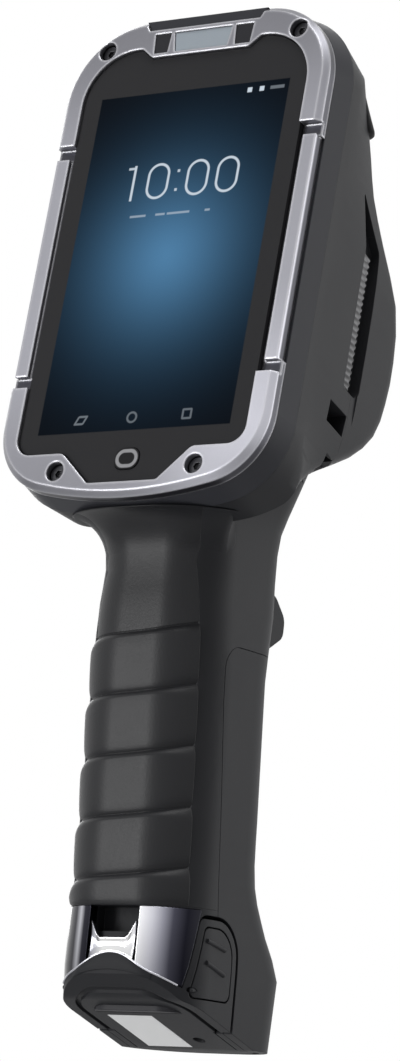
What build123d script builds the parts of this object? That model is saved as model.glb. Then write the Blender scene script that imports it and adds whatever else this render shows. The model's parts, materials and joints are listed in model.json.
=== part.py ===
from build123d import *
import os
from functools import cache
from math import atan2, cos, degrees, radians, sin

# Handheld data terminal: a display head on a pistol handle, with the battery in the handle.
# Millimetres.  +Z runs up the handle's axis, +X to the right of someone facing the display, +Y to
# the back.  The origin is on the handle's axis at the level of the foot's lowest edge.
# Head pieces are drawn in the head's own frame: its origin is the middle of the display, x runs
# across the display, y up along it and z out of it towards the user.

# ---- head and display ------------------------------------------------------------------------
DISPLAY_W = 52.3          # lit area of a 4.0 inch, 5:3 display
DISPLAY_H = 87.1
PANEL_BORDER = 2.0        # dark edge of the display panel beside the lit area
PANEL_GAP = 0.3
PANEL_T = 2.4
HEAD_TILT = 11.0          # display leans back from the handle's axis, degrees
HEAD_Y = -18.1            # middle of the display
HEAD_Z = 180.0
HEAD_HALF_W = 36.4
HEAD_TOP = 63.0           # above the middle of the display
HEAD_CHIN = 60.0          # below it
HEAD_TOP_R = 20.0
HEAD_CHIN_R = 17.0
CHIN_BOW = 6.6            # the chin's middle hangs this far below its corners
SEAM_GROW = 1.0           # the housings stand this far outside the bezel at their seam
SEAM_RISE = 2.0           # and this far above it at the top
BACK_SHRINK = 3.5         # the head's back is narrower than the bezel
BACK_TOP_DROP = 9.0       # and lower at the top
BACK_TOP_R = 11.0
BACK_DEPTH = 31.0         # from the seam to where those are measured
REAR_HALF_W = 31.0        # half width at the deepest part of the back
REAR_CORNER_R = 9.0
REAR_CORNER_SHARE = 0.7   # of the depth behind the crease, where that is less
CREASE_DEPTH = 5.5        # a crease runs round the sides this far behind the seam
CREASE_STEP = 1.0

# the back's middle line, from chin to top: (height along the head, level)
BACK_LINE = (
    (-62.0, -17.0), (-48.0, -26.0), (-40.0, -36.9), (-32.0, -49.3), (-24.0, -57.4), (-15.0, -60.4),
    (-4.0, -61.1), (9.0, -58.1), (20.0, -47.8), (29.0, -39.5), (37.0, -35.0), (45.0, -29.8),
    (50.0, -25.8), (56.0, -20.5), (66.0, -17.0),
)
BACK_BANDS = 2            # faces along each stretch of that line

# levels in the head's frame
BEZEL_TOP = 1.5
BEZEL_CHAMFER = 1.3
RAIL_TOP = 0.7
GLASS_TOP = 0.6
GLASS_T = 1.5
GASKET_T = 0.5
BEZEL_SEAT = -2.4         # front face of the front housing, under the bezel
SHOULDER = -4.6           # where the display carrier bears on the front housing
SEAM = -9.0               # between front and rear housing
COVER_SEAM = -36.0        # between rear housing and rear cover

# opening of the bezel, which the cover glass fills
OPENING_HALF_W = 31.2
OPENING_TOP = 55.6
OPENING_TOP_R = 13.5
TAB_HALF_W = 13.4         # the bezel's tab that dips into the glass at the top
TAB_LOW = 53.0
SCREW_LAND_Y = -48.8      # bezel widens below this for the lower screws
KEY_BAY_HALF_W = 9.4
KEY_BAY_LOW = -56.6
GLASS_GAP = 0.2
LEDGE_GAP = 0.2           # front housing's ledge under the glass, inside the bezel

RAIL_HALF_L = 28.2        # side rails end here, and the corner bumpers begin after a notch
RAIL_STEP = 0.6           # rails stand back from the bumpers' sides
NOTCH = 3.2
NOTCH_FLOOR = -0.9
RAIL_CHANNEL = 1.2        # channel between rail and glass
RAIL_CHANNEL_FLOOR = -0.6
CREST_CUT_Y = 60.2        # between the top bumpers the bezel stops here
CREST_HALF_W = 18.0
CREST_SLOPE = 2.6
CREST_TOP = 0.9           # the front housing's crest fills that gap up to here
CREST_GAP = 0.1

BEZEL_SCREWS = ((26.6, 56.1), (18.8, -53.2))
SCREW_HOLE_R = 2.4
SCREW_HEAD_R = 2.1
SCREW_HEAD_T = 1.2
SCREW_SEAT = -1.4         # floor of the counterbore in the bezel
SCREW_R = 1.0
SHANK_SIDES = 8
SCREW_LENGTH = 10.0
SCREW_CLEAR = 0.05
SOCKET_R = 0.95
SOCKET_DEPTH = 0.8

# windows in the tab: middle x, half width at top and bottom
TAB_WINDOW_LOW = 54.0
TAB_WINDOW_HIGH = 59.0
WINDOW_FIT = 0.1
WINDOW_RECESS = 0.3
LIGHT_BAR = (0.0, 8.0, 7.2)
SENSOR_WINDOW = (-11.2, 2.2, 1.8)
CAMERA_WINDOW = (11.5, 2.4, 2.0)
CAMERA_R = 1.9
CAMERA_T = 4.2

HOME_KEY = (0.0, -50.7)
KEY_W = 6.6
KEY_H = 5.2
KEY_R = 2.3
KEY_GAP = 0.15
KEY_PROUD = 0.25
KEY_FLANGE = 0.8
KEY_FLANGE_T = 0.7
KEY_TRAVEL = 0.4
KEY_BAY_FLOOR = -5.2      # floor of the pocket that holds the key and its switch
KEY_BAY_GAP = 0.3
KEY_SWITCH = 4.4
KEY_SWITCH_T = 1.6
KEY_BUTTON_R = 1.0
KEY_BUTTON_GAP = 0.05

# ---- inside the head -------------------------------------------------------------------------
FRONT_CAVITY_HALF_W = 31.5
FRONT_CAVITY_LOW = -45.6
FRONT_CAVITY_HIGH = 53.0
FRONT_CAVITY_R = 12.0
CARRIER_T = 1.2
CARRIER_GAP = 0.4
BOARD_T = 1.2
BOARD_LEVEL = -8.4        # back face of the main board
BOARD_HALF_W = 28.0
BOARD_LOW = -43.0
BOARD_HIGH = 49.0
BOARD_R = 6.0
POST_HALF_W = 2.0
POST_X = 24.0
POST_YS = (-37.0, 42.0)
CAN_X = (-21.0, 7.0)
CAN_Y = (-14.0, 14.0)
CAN_T = 2.2
CAN_R = 1.5
SOCKET_W = 9.0            # board connector of the handle's flat cable
SOCKET_Y = (-33.0, -29.5)
SOCKET_T = 1.4
SEAL_W = 1.1              # housing seal
SEAL_T = 0.9
SEAL_INSET = 2.0
HOLLOW_HALF_W = 26.0
HOLLOW_LOW = -34.0
HOLLOW_TURN = 34.2        # above this the hollow follows the scan window's wall
HOLLOW_SLOPE = (-11.5, 8.0)   # along the slope from the window's middle
BACK_WALL = 3.2
COVER_LOW = -40.0         # the rear cover ends here, above the neck
COVER_GAP = 0.2
COVER_BOSS_HALF_W = 3.2
COVER_SCREWS = ((22.4, 24.0, -39.0), (22.4, -27.0, -50.5))   # x, y, level of the head's seat
COVER_SCREW_END = -29.0
COVER_BOSS_END = -26.0

SPEAKER_T = 5.5
SPEAKER_Y = (-13.0, 9.0)
SPEAKER_Z = (-34.5, -19.0)
SPEAKER_PORT_Y = (-8.0, 4.0)
SPEAKER_PORT_Z = (-34.0, -31.8)
MOTOR_R = 2.8
MOTOR_L = 11.0
MOTOR_AT = (17.0, -26.0)
SEAT_GAP = 0.05

# scan window in the slope at the top of the back
SLOPE_Y = (37.0, 56.0)    # the slope runs between these heights
SCAN_Y = 46.5
HOOD_HALF_W = 28.5
HOOD_HALF_H = 8.3
HOOD_PROUD = 2.2
HOOD_SEAT = -3.5
HOOD_R = 4.0
HOOD_EDGE = 0.9
SCAN_WINDOW_HALF_W = 20.0
SCAN_WINDOW_HALF_H = 4.9
SCAN_WINDOW_R = 2.0
SCAN_WINDOW_T = 1.6
SCAN_WINDOW_RECESS = 1.0
SCAN_WINDOW_RIM = 1.0
SCAN_WALL = 6.0           # from the slope to the face the engine stands against
ENGINE_HALF_W = 11.0
ENGINE_HALF_H = 5.5
ENGINE_D = 11.5
LENS_R = 3.2
LENS_X = 4.6
LENS_DEPTH = 0.8
BRACKET_T = 1.0
BRACKET_FOOT = 5.0

# side grilles and strap passages, in the head's frame
GRILLE_LOW = -21.5
GRILLE_HIGH = 15.5
GRILLE_FRONT = -31.0
GRILLE_BACK = -39.4
GRILLE_END_R = 2.5
WEDGE_HIGH = 27.0
WEDGE_LEVEL = -26.5
GRILLE_FLOOR_X = 30.6
GRILLE_PLATE_T = 1.2
GRILLE_PLATE_W = 4.4
GRILLE_PLATE_GAP = 0.2
GRILLE_SLIT = 0.9
GRILLE_RAIL = 0.7            # beside the ends of the slits
GRILLE_PITCH = 2.4
STRAP_HOLE = (-32.2, -27.0)
STRAP_DEPTH = (-35.4, -25.4)
STRAP_EXIT = (-48.0, -38.2)
STRAP_TURN_Y = -43.0      # the way behind the bar reaches down to here
STRAP_EXIT_DEPTH = (-42.0, -30.5)
STRAP_INNER_X = 27.4
STRAP_BAR_X = 31.8

# ---- handle ----------------------------------------------------------------------------------
GRIP_HALF_W = 18.0
GRIP_FRONT = -20.0
GRIP_BACK = 18.2
GRIP_R = 13.5
NECK_Z = 108.0
NECK_HALF_W = 16.7
NECK_FRONT = -17.8
NECK_BACK = 21.0
NECK_TIGHTER = 1.0        # by how much the neck's corners are tighter than the grip's
HEEL_Z = 18.0
HEEL_BACK = 30.5
FOOT_HALF_W = 18.4
FOOT_FRONT = -21.6
SKIN_T = 2.4              # thickness of the rubber grip and of the spine cover
SKIN_GAP = 0.15
CORE_TOP = 122.0          # the form under the skins ends at the section below this
HANDLE_BANDS = (1, 2, 3, 3, 1, 2, 2, 1, 1, 1, 2, 2)   # faces along each stretch of the handle
GRIP_EDGE_Y = -15.0       # rubber in front of this
GRIP_LOW = 29.8
COLLAR_TOP = GRIP_LOW     # the handle's frame is parted here, under the rubber's edge
GRIP_HIGH = 117.0
SHINGLE_TOPS = (36.5, 50.2, 64.2, 78.2, 92.2)
SHINGLE_PROUD = 0.4
SHINGLE_TUCK = 0.3
SHINGLE_SHOULDER = 1.8
SPINE_FRONT_Y = -8.7       # its front edge
SPINE_TURN_Z = 77.0       # below this the edge runs back
SPINE_LOW_Y = -6.2        # to here above the cheeks
SPINE_TOP = 90.5
SPINE_CORNER_R = 6.0

BAY_HALF_W = 12.0
BAY_FRONT = -12.4
BAY_BACK = 13.4
BAY_TOP = 91.0
BAY_R = 5.0
PACK_GAP = 0.3
PACK_LOW = 6.6
PACK_TOP = 84.0
PACK_LEDGE = 3.0          # step round the pack's top
CONTACT_BLOCK_HALF_W = 8.4
CONTACT_BLOCK_HALF_D = 5.0
CONTACT_BLOCK_LOW = 86.8
CONTACT_COUNT = 4
CONTACT_PITCH = 3.6
CONTACT_W = 1.6
CONTACT_T = 0.4
CONTACT_REACH = 0.1       # from a finger's tip to the pack's pad
PAD_T = 0.3
CABLE_HALF_W = 4.0        # flat cable from the contacts up to the main board
CABLE_T = 0.5
CABLE_Y = -5.4
CABLE_BEND_Z = 147.5
CABLE_SLOT = 1.0

# ---- trigger ---------------------------------------------------------------------------------
TRIGGER_HALF_W = 7.6
TRIGGER_LOW = 95.0
TRIGGER_HIGH = 111.3
TRIGGER_CREST = 32.2      # how far back the finger pad reaches
TRIGGER_INNER_Y = 19.5    # inner face of the pad
TRIGGER_GAP = 0.5
TRIGGER_LOW_GAP = 1.5     # room under the pad for its swing
TRIGGER_PIN_Y = 16.0
TRIGGER_PIN_Z = 109.0
TRIGGER_PIN_R = 1.2
TRIGGER_EYE_R = 2.6
TRIGGER_PIN_HALF_L = 10.8
TRIGGER_PIN_FIT = 0.05
TRIGGER_POCKET_Y = 9.0
NOSE_HALF_W = 1.5         # rib that presses the switch
NOSE_TIP_Y = 14.5
NOSE_Z = (96.6, 98.6)
SWITCH_HALF_W = 3.0
SWITCH_T = 3.4
SWITCH_Z = (95.0, 102.0)
SWITCH_BUTTON_R = 0.7
SWITCH_BUTTON = 0.6
LEAF_T = 0.35
LEAF_X = (3.4, 6.4)
LEAF_Z = (95.4, 106.6)

# ---- foot ------------------------------------------------------------------------------------
ARCH_MID = 16.5           # top of the battery foot at the front, in the middle
ARCH_SIDE = 8.8           # and at the sides
ARCH_GAP = 0.3
FOOT_SPLIT_Y = 2.4        # the foot's cheeks end here, at the groove before the heel
FOOT_TONGUE_HALF_W = 13.4
FOOT_TONGUE_BACK = 27.0
FOOT_GROOVE = 0.9
BASE_FLAT_Y = 13.0        # the base is flat behind this and rises to the front
BASE_RISE = 0.31
BASE_ROLL_Y = -16.0
BASE_ROLL_TOP_Y = -26.0
BASE_ROLL_TOP_Z = 18.0
BASE_ROLL_R = 5.0
BASE_RING_INSET = 3.0
BASE_RING_W = 1.4
BASE_RING_DEPTH = 0.8
CHEEK_X = 13.6
CHEEK_TOP = 27.6
CHEEK_FRONT_LOW = (-16.6, 7.2)
CHEEK_FRONT_TOP = (-11.6, 28.8)
CHEEK_TOP_R = 8.0
PADDLE_X = 16.0           # inner face of a latch paddle
PADDLE_MARGIN = 1.6
PADDLE_LOW = 9.5
PADDLE_GAP = 0.35
PADDLE_POCKET_X = 14.6
PADDLE_PIN_Z = 11.4
PADDLE_PIN_X = 16.9
PADDLE_PIN_R = 0.6
PADDLE_PIN_FIT = 0.05
PADDLE_RIBS = ((22.8, 21.3), (17.9, 15.7))    # heights of a rib's front and rear end
PADDLE_RIB_Y = (-10.0, -2.6)
PADDLE_RIB_R = 0.55

CHROME_TOP = 29.4
CHROME_T = 1.6
CHROME_GAP = 0.1
SADDLE_HALF_W = 5.4
CHROME_SLIT = 1.2
LOCK_HALF_W = 6.6
LOCK_LOW = 23.8
LOCK_HIGH = 29.6
LOCK_BACK_Y = -14.8
LABEL_W = 12.0
LABEL_L = 19.0
LABEL_T = 0.4
LABEL_X = -3.8
LABEL_ALONG = 10.6        # from the start of the rise to the middle of the plate
FOOT_SCREW = (6.7, 7.5)
FOOT_SCREW_HOLE_R = 1.5
FOOT_SCREW_HEAD_R = 1.4
FOOT_SCREW_SEAT = 3.6
FOOT_SCREW_END = 12.0

FAR = 200.0               # longer than anything here, for cutting blocks

HEAD = Plane(
    origin=(0, HEAD_Y, HEAD_Z),
    x_dir=(1, 0, 0),
    z_dir=(0, -cos(radians(HEAD_TILT)), sin(radians(HEAD_TILT))),
)


# ---- drawing helpers -------------------------------------------------------------------------
def rounded_polygon(corners):
    """Face through (x, y, radius) corners, each corner rounded by its own radius."""
    face = make_face(Polyline(*[(x, y) for x, y, _ in corners], close=True))
    for x, y, radius in corners:
        if radius:
            face = fillet(face.vertices().sort_by_distance((x, y, 0))[0], radius)
    return face


def both_sides(right_half):
    """Corners of a symmetric outline from those of its right half, lowest first."""
    left_half = [(-x, y, radius) for x, y, radius in reversed(right_half)]
    return right_half + left_half


def prism(face, low, high):
    """Straight block of an outline, between two levels of the outline's own frame."""
    return extrude(Pos(0, 0, low) * face, high - low, dir=(0, 0, 1))


def block(x, y, z):
    """Box between the (low, high) pairs of its three axes."""
    size = [pair[1] - pair[0] for pair in (x, y, z)]
    middle = [(pair[1] + pair[0]) / 2 for pair in (x, y, z)]
    return Pos(*middle) * Box(*size)


def side_prism(corners, half_w=FAR):
    """Block whose (y, z, radius) side outline is carried across x."""
    outline = Plane.YZ * rounded_polygon(corners)
    return extrude(outline, half_w, both=True, dir=(1, 0, 0))


def rod(start, end, radius):
    """Round bar between two points."""
    start, end = Vector(*start), Vector(*end)
    return Plane(origin=start, z_dir=end - start) * Cylinder(
        radius, (end - start).length, align=(Align.CENTER, Align.CENTER, Align.MIN)
    )


def mirrored_pair(piece):
    """The piece and its mirror image across the middle plane."""
    return [piece, piece.mirror(Plane.YZ)]


# ---- head: outlines --------------------------------------------------------------------------
def head_outline(half_w, top, chin, top_r, chin_r):
    """The head seen from the front: flat top, round corners and a bowed chin."""
    corner_y = CHIN_BOW - chin
    sides = Polyline((-half_w, corner_y), (-half_w, top), (half_w, top), (half_w, corner_y))
    bow = ThreePointArc((half_w, corner_y), (0, -chin), (-half_w, corner_y))
    face = make_face(sides + bow)
    for y, radius in ((corner_y, chin_r), (top, top_r)):
        corners = [face.vertices().sort_by_distance((x, y, 0))[0] for x in (-half_w, half_w)]
        face = fillet(corners, radius)
    return face


def bezel_outline(grow=0.0):
    """The bezel's outer edge."""
    return head_outline(HEAD_HALF_W + grow, HEAD_TOP + grow, HEAD_CHIN + grow,
                        HEAD_TOP_R + grow, HEAD_CHIN_R + grow)


def seam_outline():
    """Outer edge of both housings where they meet."""
    return head_outline(HEAD_HALF_W + SEAM_GROW, HEAD_TOP + SEAM_RISE, HEAD_CHIN + SEAM_GROW,
                        HEAD_TOP_R + SEAM_GROW, HEAD_CHIN_R + SEAM_GROW)


def opening_outline(shrink=0.0):
    """The bezel's opening, wide beside the display, with the tab above and the key bay below."""
    half_w, top = OPENING_HALF_W - shrink, OPENING_TOP - shrink
    bay_w, bay_low = KEY_BAY_HALF_W - shrink / 2, KEY_BAY_LOW + shrink
    land = SCREW_LAND_Y + shrink
    tab_w, tab_low = TAB_HALF_W + shrink / 2, TAB_LOW - shrink
    slope = top - tab_low
    return rounded_polygon(both_sides([
        (bay_w, bay_low, 1.5),
        (bay_w + (land - bay_low) * 1.05, land, 2.5),
        (half_w, land, 4.5),
        (half_w, top, OPENING_TOP_R),
        (tab_w + slope * 1.2, top, 1.2),
        (tab_w, tab_low, 1.0),
    ]))


def tab_window(window, grow=0.0):
    """A window in the tab: its sides close in a little towards the display."""
    middle, half_high, half_low = window
    low, high = TAB_WINDOW_LOW - grow, TAB_WINDOW_HIGH + grow
    return rounded_polygon([
        (middle - half_low - grow, low, 0), (middle + half_low + grow, low, 0),
        (middle + half_high + grow, high, 0), (middle - half_high - grow, high, 0),
    ])


# ---- handle: the lofted body -----------------------------------------------------------------
def handle_stations():
    """(z, half width, front, back, corner radius) of the handle's sections, from the foot up."""
    grip = (GRIP_HALF_W, GRIP_FRONT, GRIP_BACK, GRIP_R)
    neck_r = GRIP_R - NECK_TIGHTER
    return [
        (-2.0, FOOT_HALF_W - 0.6, FOOT_FRONT - 0.1, HEEL_BACK - 1.6, GRIP_R),
        (HEEL_Z - 1.5, FOOT_HALF_W, FOOT_FRONT, HEEL_BACK, GRIP_R),
        (HEEL_Z + 8.0, FOOT_HALF_W - 0.2, FOOT_FRONT + 0.6, HEEL_BACK - 6.0, GRIP_R),
        (HEEL_Z + 19.0, grip[0], grip[1] - 0.5, grip[2] + 0.8, grip[3]),
        (HEEL_Z + 34.0, *grip),
        (SPINE_TOP - 6.0, grip[0] - 0.2, grip[1] + 0.5, *grip[2:]),
        (NECK_Z - 8.0, NECK_HALF_W + 0.3, NECK_FRONT - 1.0, NECK_BACK - 0.4, neck_r),
        (NECK_Z, NECK_HALF_W, NECK_FRONT, NECK_BACK, neck_r),
        (NECK_Z + 7.0, NECK_HALF_W + 0.2, NECK_FRONT - 0.6, NECK_BACK, neck_r),
        (NECK_Z + 12.0, NECK_HALF_W + 0.8, NECK_FRONT - 1.8, NECK_BACK + 0.2, neck_r),
        (NECK_Z + 16.0, NECK_HALF_W + 2.0, NECK_FRONT - 4.0, NECK_BACK + 0.8, neck_r),
        (NECK_Z + 20.0, NECK_HALF_W + 3.4, NECK_FRONT - 7.5, NECK_BACK + 1.4, neck_r),
        (NECK_Z + 33.0, NECK_HALF_W + 6.0, NECK_FRONT - 9.0, NECK_BACK + 6.0, neck_r),
    ]


def soft_row(table, where):
    """A table's row at any place between its ends, on a curve that runs softly through its rows."""
    inner = [index for index in range(1, len(table) - 1) if table[index][0] <= where]
    index = max(inner, default=0)
    below, above = table[index], table[index + 1]
    before, after = table[max(index - 1, 0)], table[min(index + 2, len(table) - 1)]
    span = above[0] - below[0]
    share = (where - below[0]) / span
    row = []
    for low, high, far_low, far_high in zip(below, above, before, after):
        rise_low = (high - far_low) / (above[0] - before[0]) * span
        rise_high = (far_high - low) / (after[0] - below[0]) * span
        row.append((1 + 2 * share) * (1 - share) ** 2 * low + share * (1 - share) ** 2 * rise_low
                   + share ** 2 * (3 - 2 * share) * high - share ** 2 * (1 - share) * rise_high)
    return tuple(row)


def places_along(table, bands):
    """Where a table's form gets its sections: its rows, and places between them."""
    places = []
    for (low, *_), (high, *_), count in zip(table, table[1:], bands):
        places += [low + (high - low) * step / count for step in range(count)]
    return [*places, table[-1][0]]


def handle_section(z, half_w, front, back, radius, inset=0.0):
    """One rounded section of the handle, moved in by an inset."""
    outline = RectangleRounded(2 * (half_w - inset), back - front - 2 * inset, radius - inset)
    return Pos(0, (front + back) / 2, z) * outline


def core_section(z, half_w, front, back, radius, inset):
    """The same section under a skin, with each corner cut by two flats."""
    x, y = half_w - inset - radius, (back - front) / 2 - inset - radius
    flat = radius * cos(radians(45))
    corner = [(x + radius, y), (x + flat, y + flat), (x, y + radius)]
    right = [*[(a, -b) for a, b in reversed(corner)], *corner]
    left = [(-a, b) for a, b in reversed(right)]
    return Pos(0, (front + back) / 2, z) * make_face(Polyline(*right, *left, close=True))


def handle_body():
    """The handle's whole form, from the foot to inside the head."""
    table = handle_stations()
    places = places_along(table, HANDLE_BANDS)
    return loft([handle_section(*soft_row(table, z)) for z in places], ruled=True)


def handle_core(inset):
    """The handle's form under its skins."""
    rows = [row for row in handle_stations() if row[0] < CORE_TOP]
    return loft([core_section(*row, inset=inset) for row in rows], ruled=True)


def station_at(z):
    """The handle's section at any height."""
    return soft_row(handle_stations(), z)


# ---- head: the rear body ---------------------------------------------------------------------
def back_level(y):
    """Level of the back's middle line at a height."""
    return soft_row(BACK_LINE, y)[1]


def rear_slice(y, level):
    """Section of the head's back at height y, with the crease along its side."""
    front_w = HEAD_HALF_W + SEAM_GROW
    crease_w, crease_z = front_w - CREASE_STEP, SEAM - CREASE_DEPTH
    radius = min(REAR_CORNER_R, REAR_CORNER_SHARE * (crease_z - level))
    right_half = [(front_w, SEAM, 0), (crease_w, crease_z, 0), (REAR_HALF_W, level, radius)]
    return Plane.XZ.offset(-y) * rounded_polygon(both_sides(right_half))


@cache
def rear_form():
    """The head's back and its hump, before the neck joins it (head's frame)."""
    places = places_along(BACK_LINE, [BACK_BANDS] * len(BACK_LINE))
    form = loft([rear_slice(y, back_level(y)) for y in places], ruled=True)
    back = head_outline(HEAD_HALF_W - BACK_SHRINK, HEAD_TOP - BACK_TOP_DROP,
                        HEAD_CHIN + SEAM_GROW, BACK_TOP_R, HEAD_CHIN_R + SEAM_GROW)
    taper = loft([Pos(0, 0, SEAM) * seam_outline(), Pos(0, 0, SEAM - BACK_DEPTH) * back])
    hump = block((-FAR, FAR), (-FAR, SLOPE_Y[0]), (-FAR, SEAM - BACK_DEPTH + 1))
    return form & (taper + hump)


def slope_angle():
    """How far the slope that carries the scan window leans from the head's level, degrees."""
    low_y, high_y = SLOPE_Y
    fall = back_level(high_y) - back_level(low_y)
    return degrees(atan2(fall, high_y - low_y))


def scan_plane():
    """Frame on the slope: x across, z out of the window."""
    lean = radians(slope_angle())
    return Plane(origin=(0, SCAN_Y, back_level(SCAN_Y)), x_dir=(-1, 0, 0),
                 z_dir=(0, sin(lean), -cos(lean)))


def slope_point(along, level):
    """(y, z) of a point beside the scan window: up along the slope and out of it."""
    lean = radians(slope_angle())
    y = SCAN_Y + along * cos(lean) + level * sin(lean)
    z = back_level(SCAN_Y) + along * sin(lean) - level * cos(lean)
    return y, z


# ---- outer forms and how they are shared out --------------------------------------------------
def base_solid(raise_by=0.0):
    """Everything above the foot's base, which is flat at the back and rises to the front."""
    roll_z = (BASE_FLAT_Y - BASE_ROLL_Y) * BASE_RISE
    return side_prism([
        (FAR, raise_by, 0), (BASE_FLAT_Y, raise_by, 0), (BASE_ROLL_Y, roll_z + raise_by, BASE_ROLL_R),
        (BASE_ROLL_TOP_Y, BASE_ROLL_TOP_Z + raise_by, 0), (-FAR, BASE_ROLL_TOP_Z + raise_by, 0),
        (-FAR, 2 * FAR, 0), (FAR, 2 * FAR, 0),
    ])


@cache
def handle_form():
    """The handle's outer surface, above the base and behind the seam."""
    behind_seam = HEAD * block((-FAR, FAR), (-2 * FAR, FAR), (-2 * FAR, SEAM))
    return handle_body() & base_solid() & behind_seam


def arch_prism(gap=0.0):
    """Everything under the arch where the battery foot begins at the front."""
    half_w = FOOT_HALF_W + 1.0
    arc = ThreePointArc((-half_w, ARCH_SIDE + gap), (0, ARCH_MID + gap), (half_w, ARCH_SIDE + gap))
    sides = Polyline((half_w, ARCH_SIDE + gap), (half_w, -FAR), (-half_w, -FAR),
                     (-half_w, ARCH_SIDE + gap))
    face = Plane.XZ * make_face(arc + sides)
    split = FOOT_SPLIT_Y + (FOOT_GROOVE if gap else 0)
    return extrude(Pos(0, split, 0) * face, FAR, dir=(0, -1, 0))


def cheek_prisms(gap=0.0):
    """The two side regions of the battery foot, open downwards."""
    groove = FOOT_GROOVE if gap else 0
    low_y, low_z = CHEEK_FRONT_LOW
    top_y, top_z = CHEEK_FRONT_TOP
    lean = (top_y - low_y) / (top_z - low_z)
    top = CHEEK_TOP + groove
    front_at = {z: low_y + (z - low_z) * lean - gap for z in (-FAR, top)}
    outline = [
        (front_at[-FAR], -FAR, 0), (FOOT_SPLIT_Y + groove, -FAR, 0),
        (FOOT_SPLIT_Y + groove, top, CHEEK_TOP_R + groove), (front_at[top], top, 1.5 + groove),
    ]
    inner = CHEEK_X - gap
    return [side_prism(outline) & block((inner, FAR), (-FAR, FAR), (-2 * FAR, FAR)),
            side_prism(outline) & block((-FAR, -inner), (-FAR, FAR), (-2 * FAR, FAR))]


def foot_region(gap=0.0):
    """Where the battery foot is, or with a gap, where it passes on its way down."""
    tongue_w = FOOT_TONGUE_HALF_W + gap
    tongue_back = FOOT_TONGUE_BACK + gap
    tongue = prism(
        rounded_polygon([
            (-tongue_w, -FAR, 0), (tongue_w, -FAR, 0),
            (tongue_w, tongue_back, 6.0), (-tongue_w, tongue_back, 6.0),
        ]), -FAR, PACK_LOW + gap)
    region = arch_prism(gap) + tongue
    for cheek in cheek_prisms(gap):
        region += cheek
    return region


def grip_zone():
    """Where the handle is covered by the rubber grip."""
    return block((-FAR, FAR), (-FAR, GRIP_EDGE_Y), (GRIP_LOW, GRIP_HIGH))


def spine_zone():
    """Where it is covered by the spine, down to the base."""
    low_z = CHEEK_TOP + FOOT_GROOVE
    return side_prism([
        (FAR, SPINE_TOP, 0), (SPINE_FRONT_Y, SPINE_TOP, SPINE_CORNER_R), (SPINE_FRONT_Y, SPINE_TURN_Z, 0),
        (SPINE_LOW_Y, low_z, 0), (SPINE_LOW_Y, -FAR, 0), (FAR, -FAR, 0),
    ])


def chrome_zone(gap=0.0):
    """The band over the arch, in front of the cheeks."""
    low_y, low_z = CHEEK_FRONT_LOW
    top_y, top_z = CHEEK_FRONT_TOP
    front = side_prism([
        (low_y - ARCH_GAP, low_z, 0), (top_y - ARCH_GAP, top_z, 0),
        (top_y - ARCH_GAP, CHROME_TOP + gap, 0), (-FAR, CHROME_TOP + gap, 0), (-FAR, low_z, 0),
    ])
    return front - arch_prism(ARCH_GAP)


def pack_solid(grow=0.0):
    """The battery pack with its stepped top."""
    half_w = BAY_HALF_W - PACK_GAP + grow
    front, back = BAY_FRONT + PACK_GAP - grow, BAY_BACK - PACK_GAP + grow
    outline = Pos(0, (front + back) / 2) * RectangleRounded(2 * half_w, back - front, BAY_R)
    top = offset(outline, -1.0)
    return prism(outline, PACK_LOW, PACK_TOP - PACK_LEDGE) + prism(top, PACK_LOW, PACK_TOP)


# ---- front of the head -------------------------------------------------------------------------
def crest_outline(gap=0.0):
    """The gap at the top of the bezel that the front housing fills."""
    low_w, high_w = CREST_HALF_W - CREST_SLOPE - gap, CREST_HALF_W - gap
    return rounded_polygon([
        (-low_w, CREST_CUT_Y + gap, 0), (low_w, CREST_CUT_Y + gap, 0),
        (high_w, HEAD_TOP + SEAM_RISE, 0), (-high_w, HEAD_TOP + SEAM_RISE, 0),
    ])


def screw_places(places):
    """Both sides of a list of (x, y, ...) places."""
    return [(sign * place[0], *place[1:]) for place in places for sign in (1, -1)]


def shank(x, y, low, high, clearance=0.0):
    """A screw's shank or its hole, with flat sides in place of the thread."""
    return Pos(x, y, 0) * prism(RegularPolygon(SCREW_R + clearance, SHANK_SIDES), low, high)


def front_bezel():
    """Cast frame round the display, with bumpers at its corners."""
    edge = BEZEL_TOP - BEZEL_CHAMFER
    body = prism(bezel_outline(), BEZEL_SEAT, edge)
    body += loft([Pos(0, 0, edge) * bezel_outline(), Pos(0, 0, BEZEL_TOP) * bezel_outline(-BEZEL_CHAMFER)])
    body -= prism(opening_outline(), BEZEL_SEAT - 1, BEZEL_TOP + 1)
    body -= prism(crest_outline(), BEZEL_SEAT - 1, BEZEL_TOP + 1)
    for window in (LIGHT_BAR, SENSOR_WINDOW, CAMERA_WINDOW):
        body -= prism(tab_window(window, WINDOW_FIT), BEZEL_SEAT - 1, BEZEL_TOP + 1)
    rail = (-RAIL_HALF_L, RAIL_HALF_L)
    channel = (OPENING_HALF_W - 1, OPENING_HALF_W + RAIL_CHANNEL)
    for side in mirrored_pair(
        block((OPENING_HALF_W - 1, FAR), rail, (RAIL_TOP, FAR))
        + block(channel, rail, (RAIL_CHANNEL_FLOOR, FAR))
        + block((HEAD_HALF_W - RAIL_STEP, FAR), rail, (BEZEL_SEAT - 1, FAR))
        + block((OPENING_HALF_W - 1, FAR), (RAIL_HALF_L, RAIL_HALF_L + NOTCH), (NOTCH_FLOOR, FAR))
        + block((OPENING_HALF_W - 1, FAR), (-RAIL_HALF_L - NOTCH, -RAIL_HALF_L), (NOTCH_FLOOR, FAR))
    ):
        body -= side
    for x, y in screw_places(BEZEL_SCREWS):
        body -= Pos(x, y, 0) * rod((0, 0, SCREW_SEAT), (0, 0, FAR), SCREW_HOLE_R)
        body -= shank(x, y, -FAR, FAR, SCREW_CLEAR)
    return HEAD * body


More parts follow.
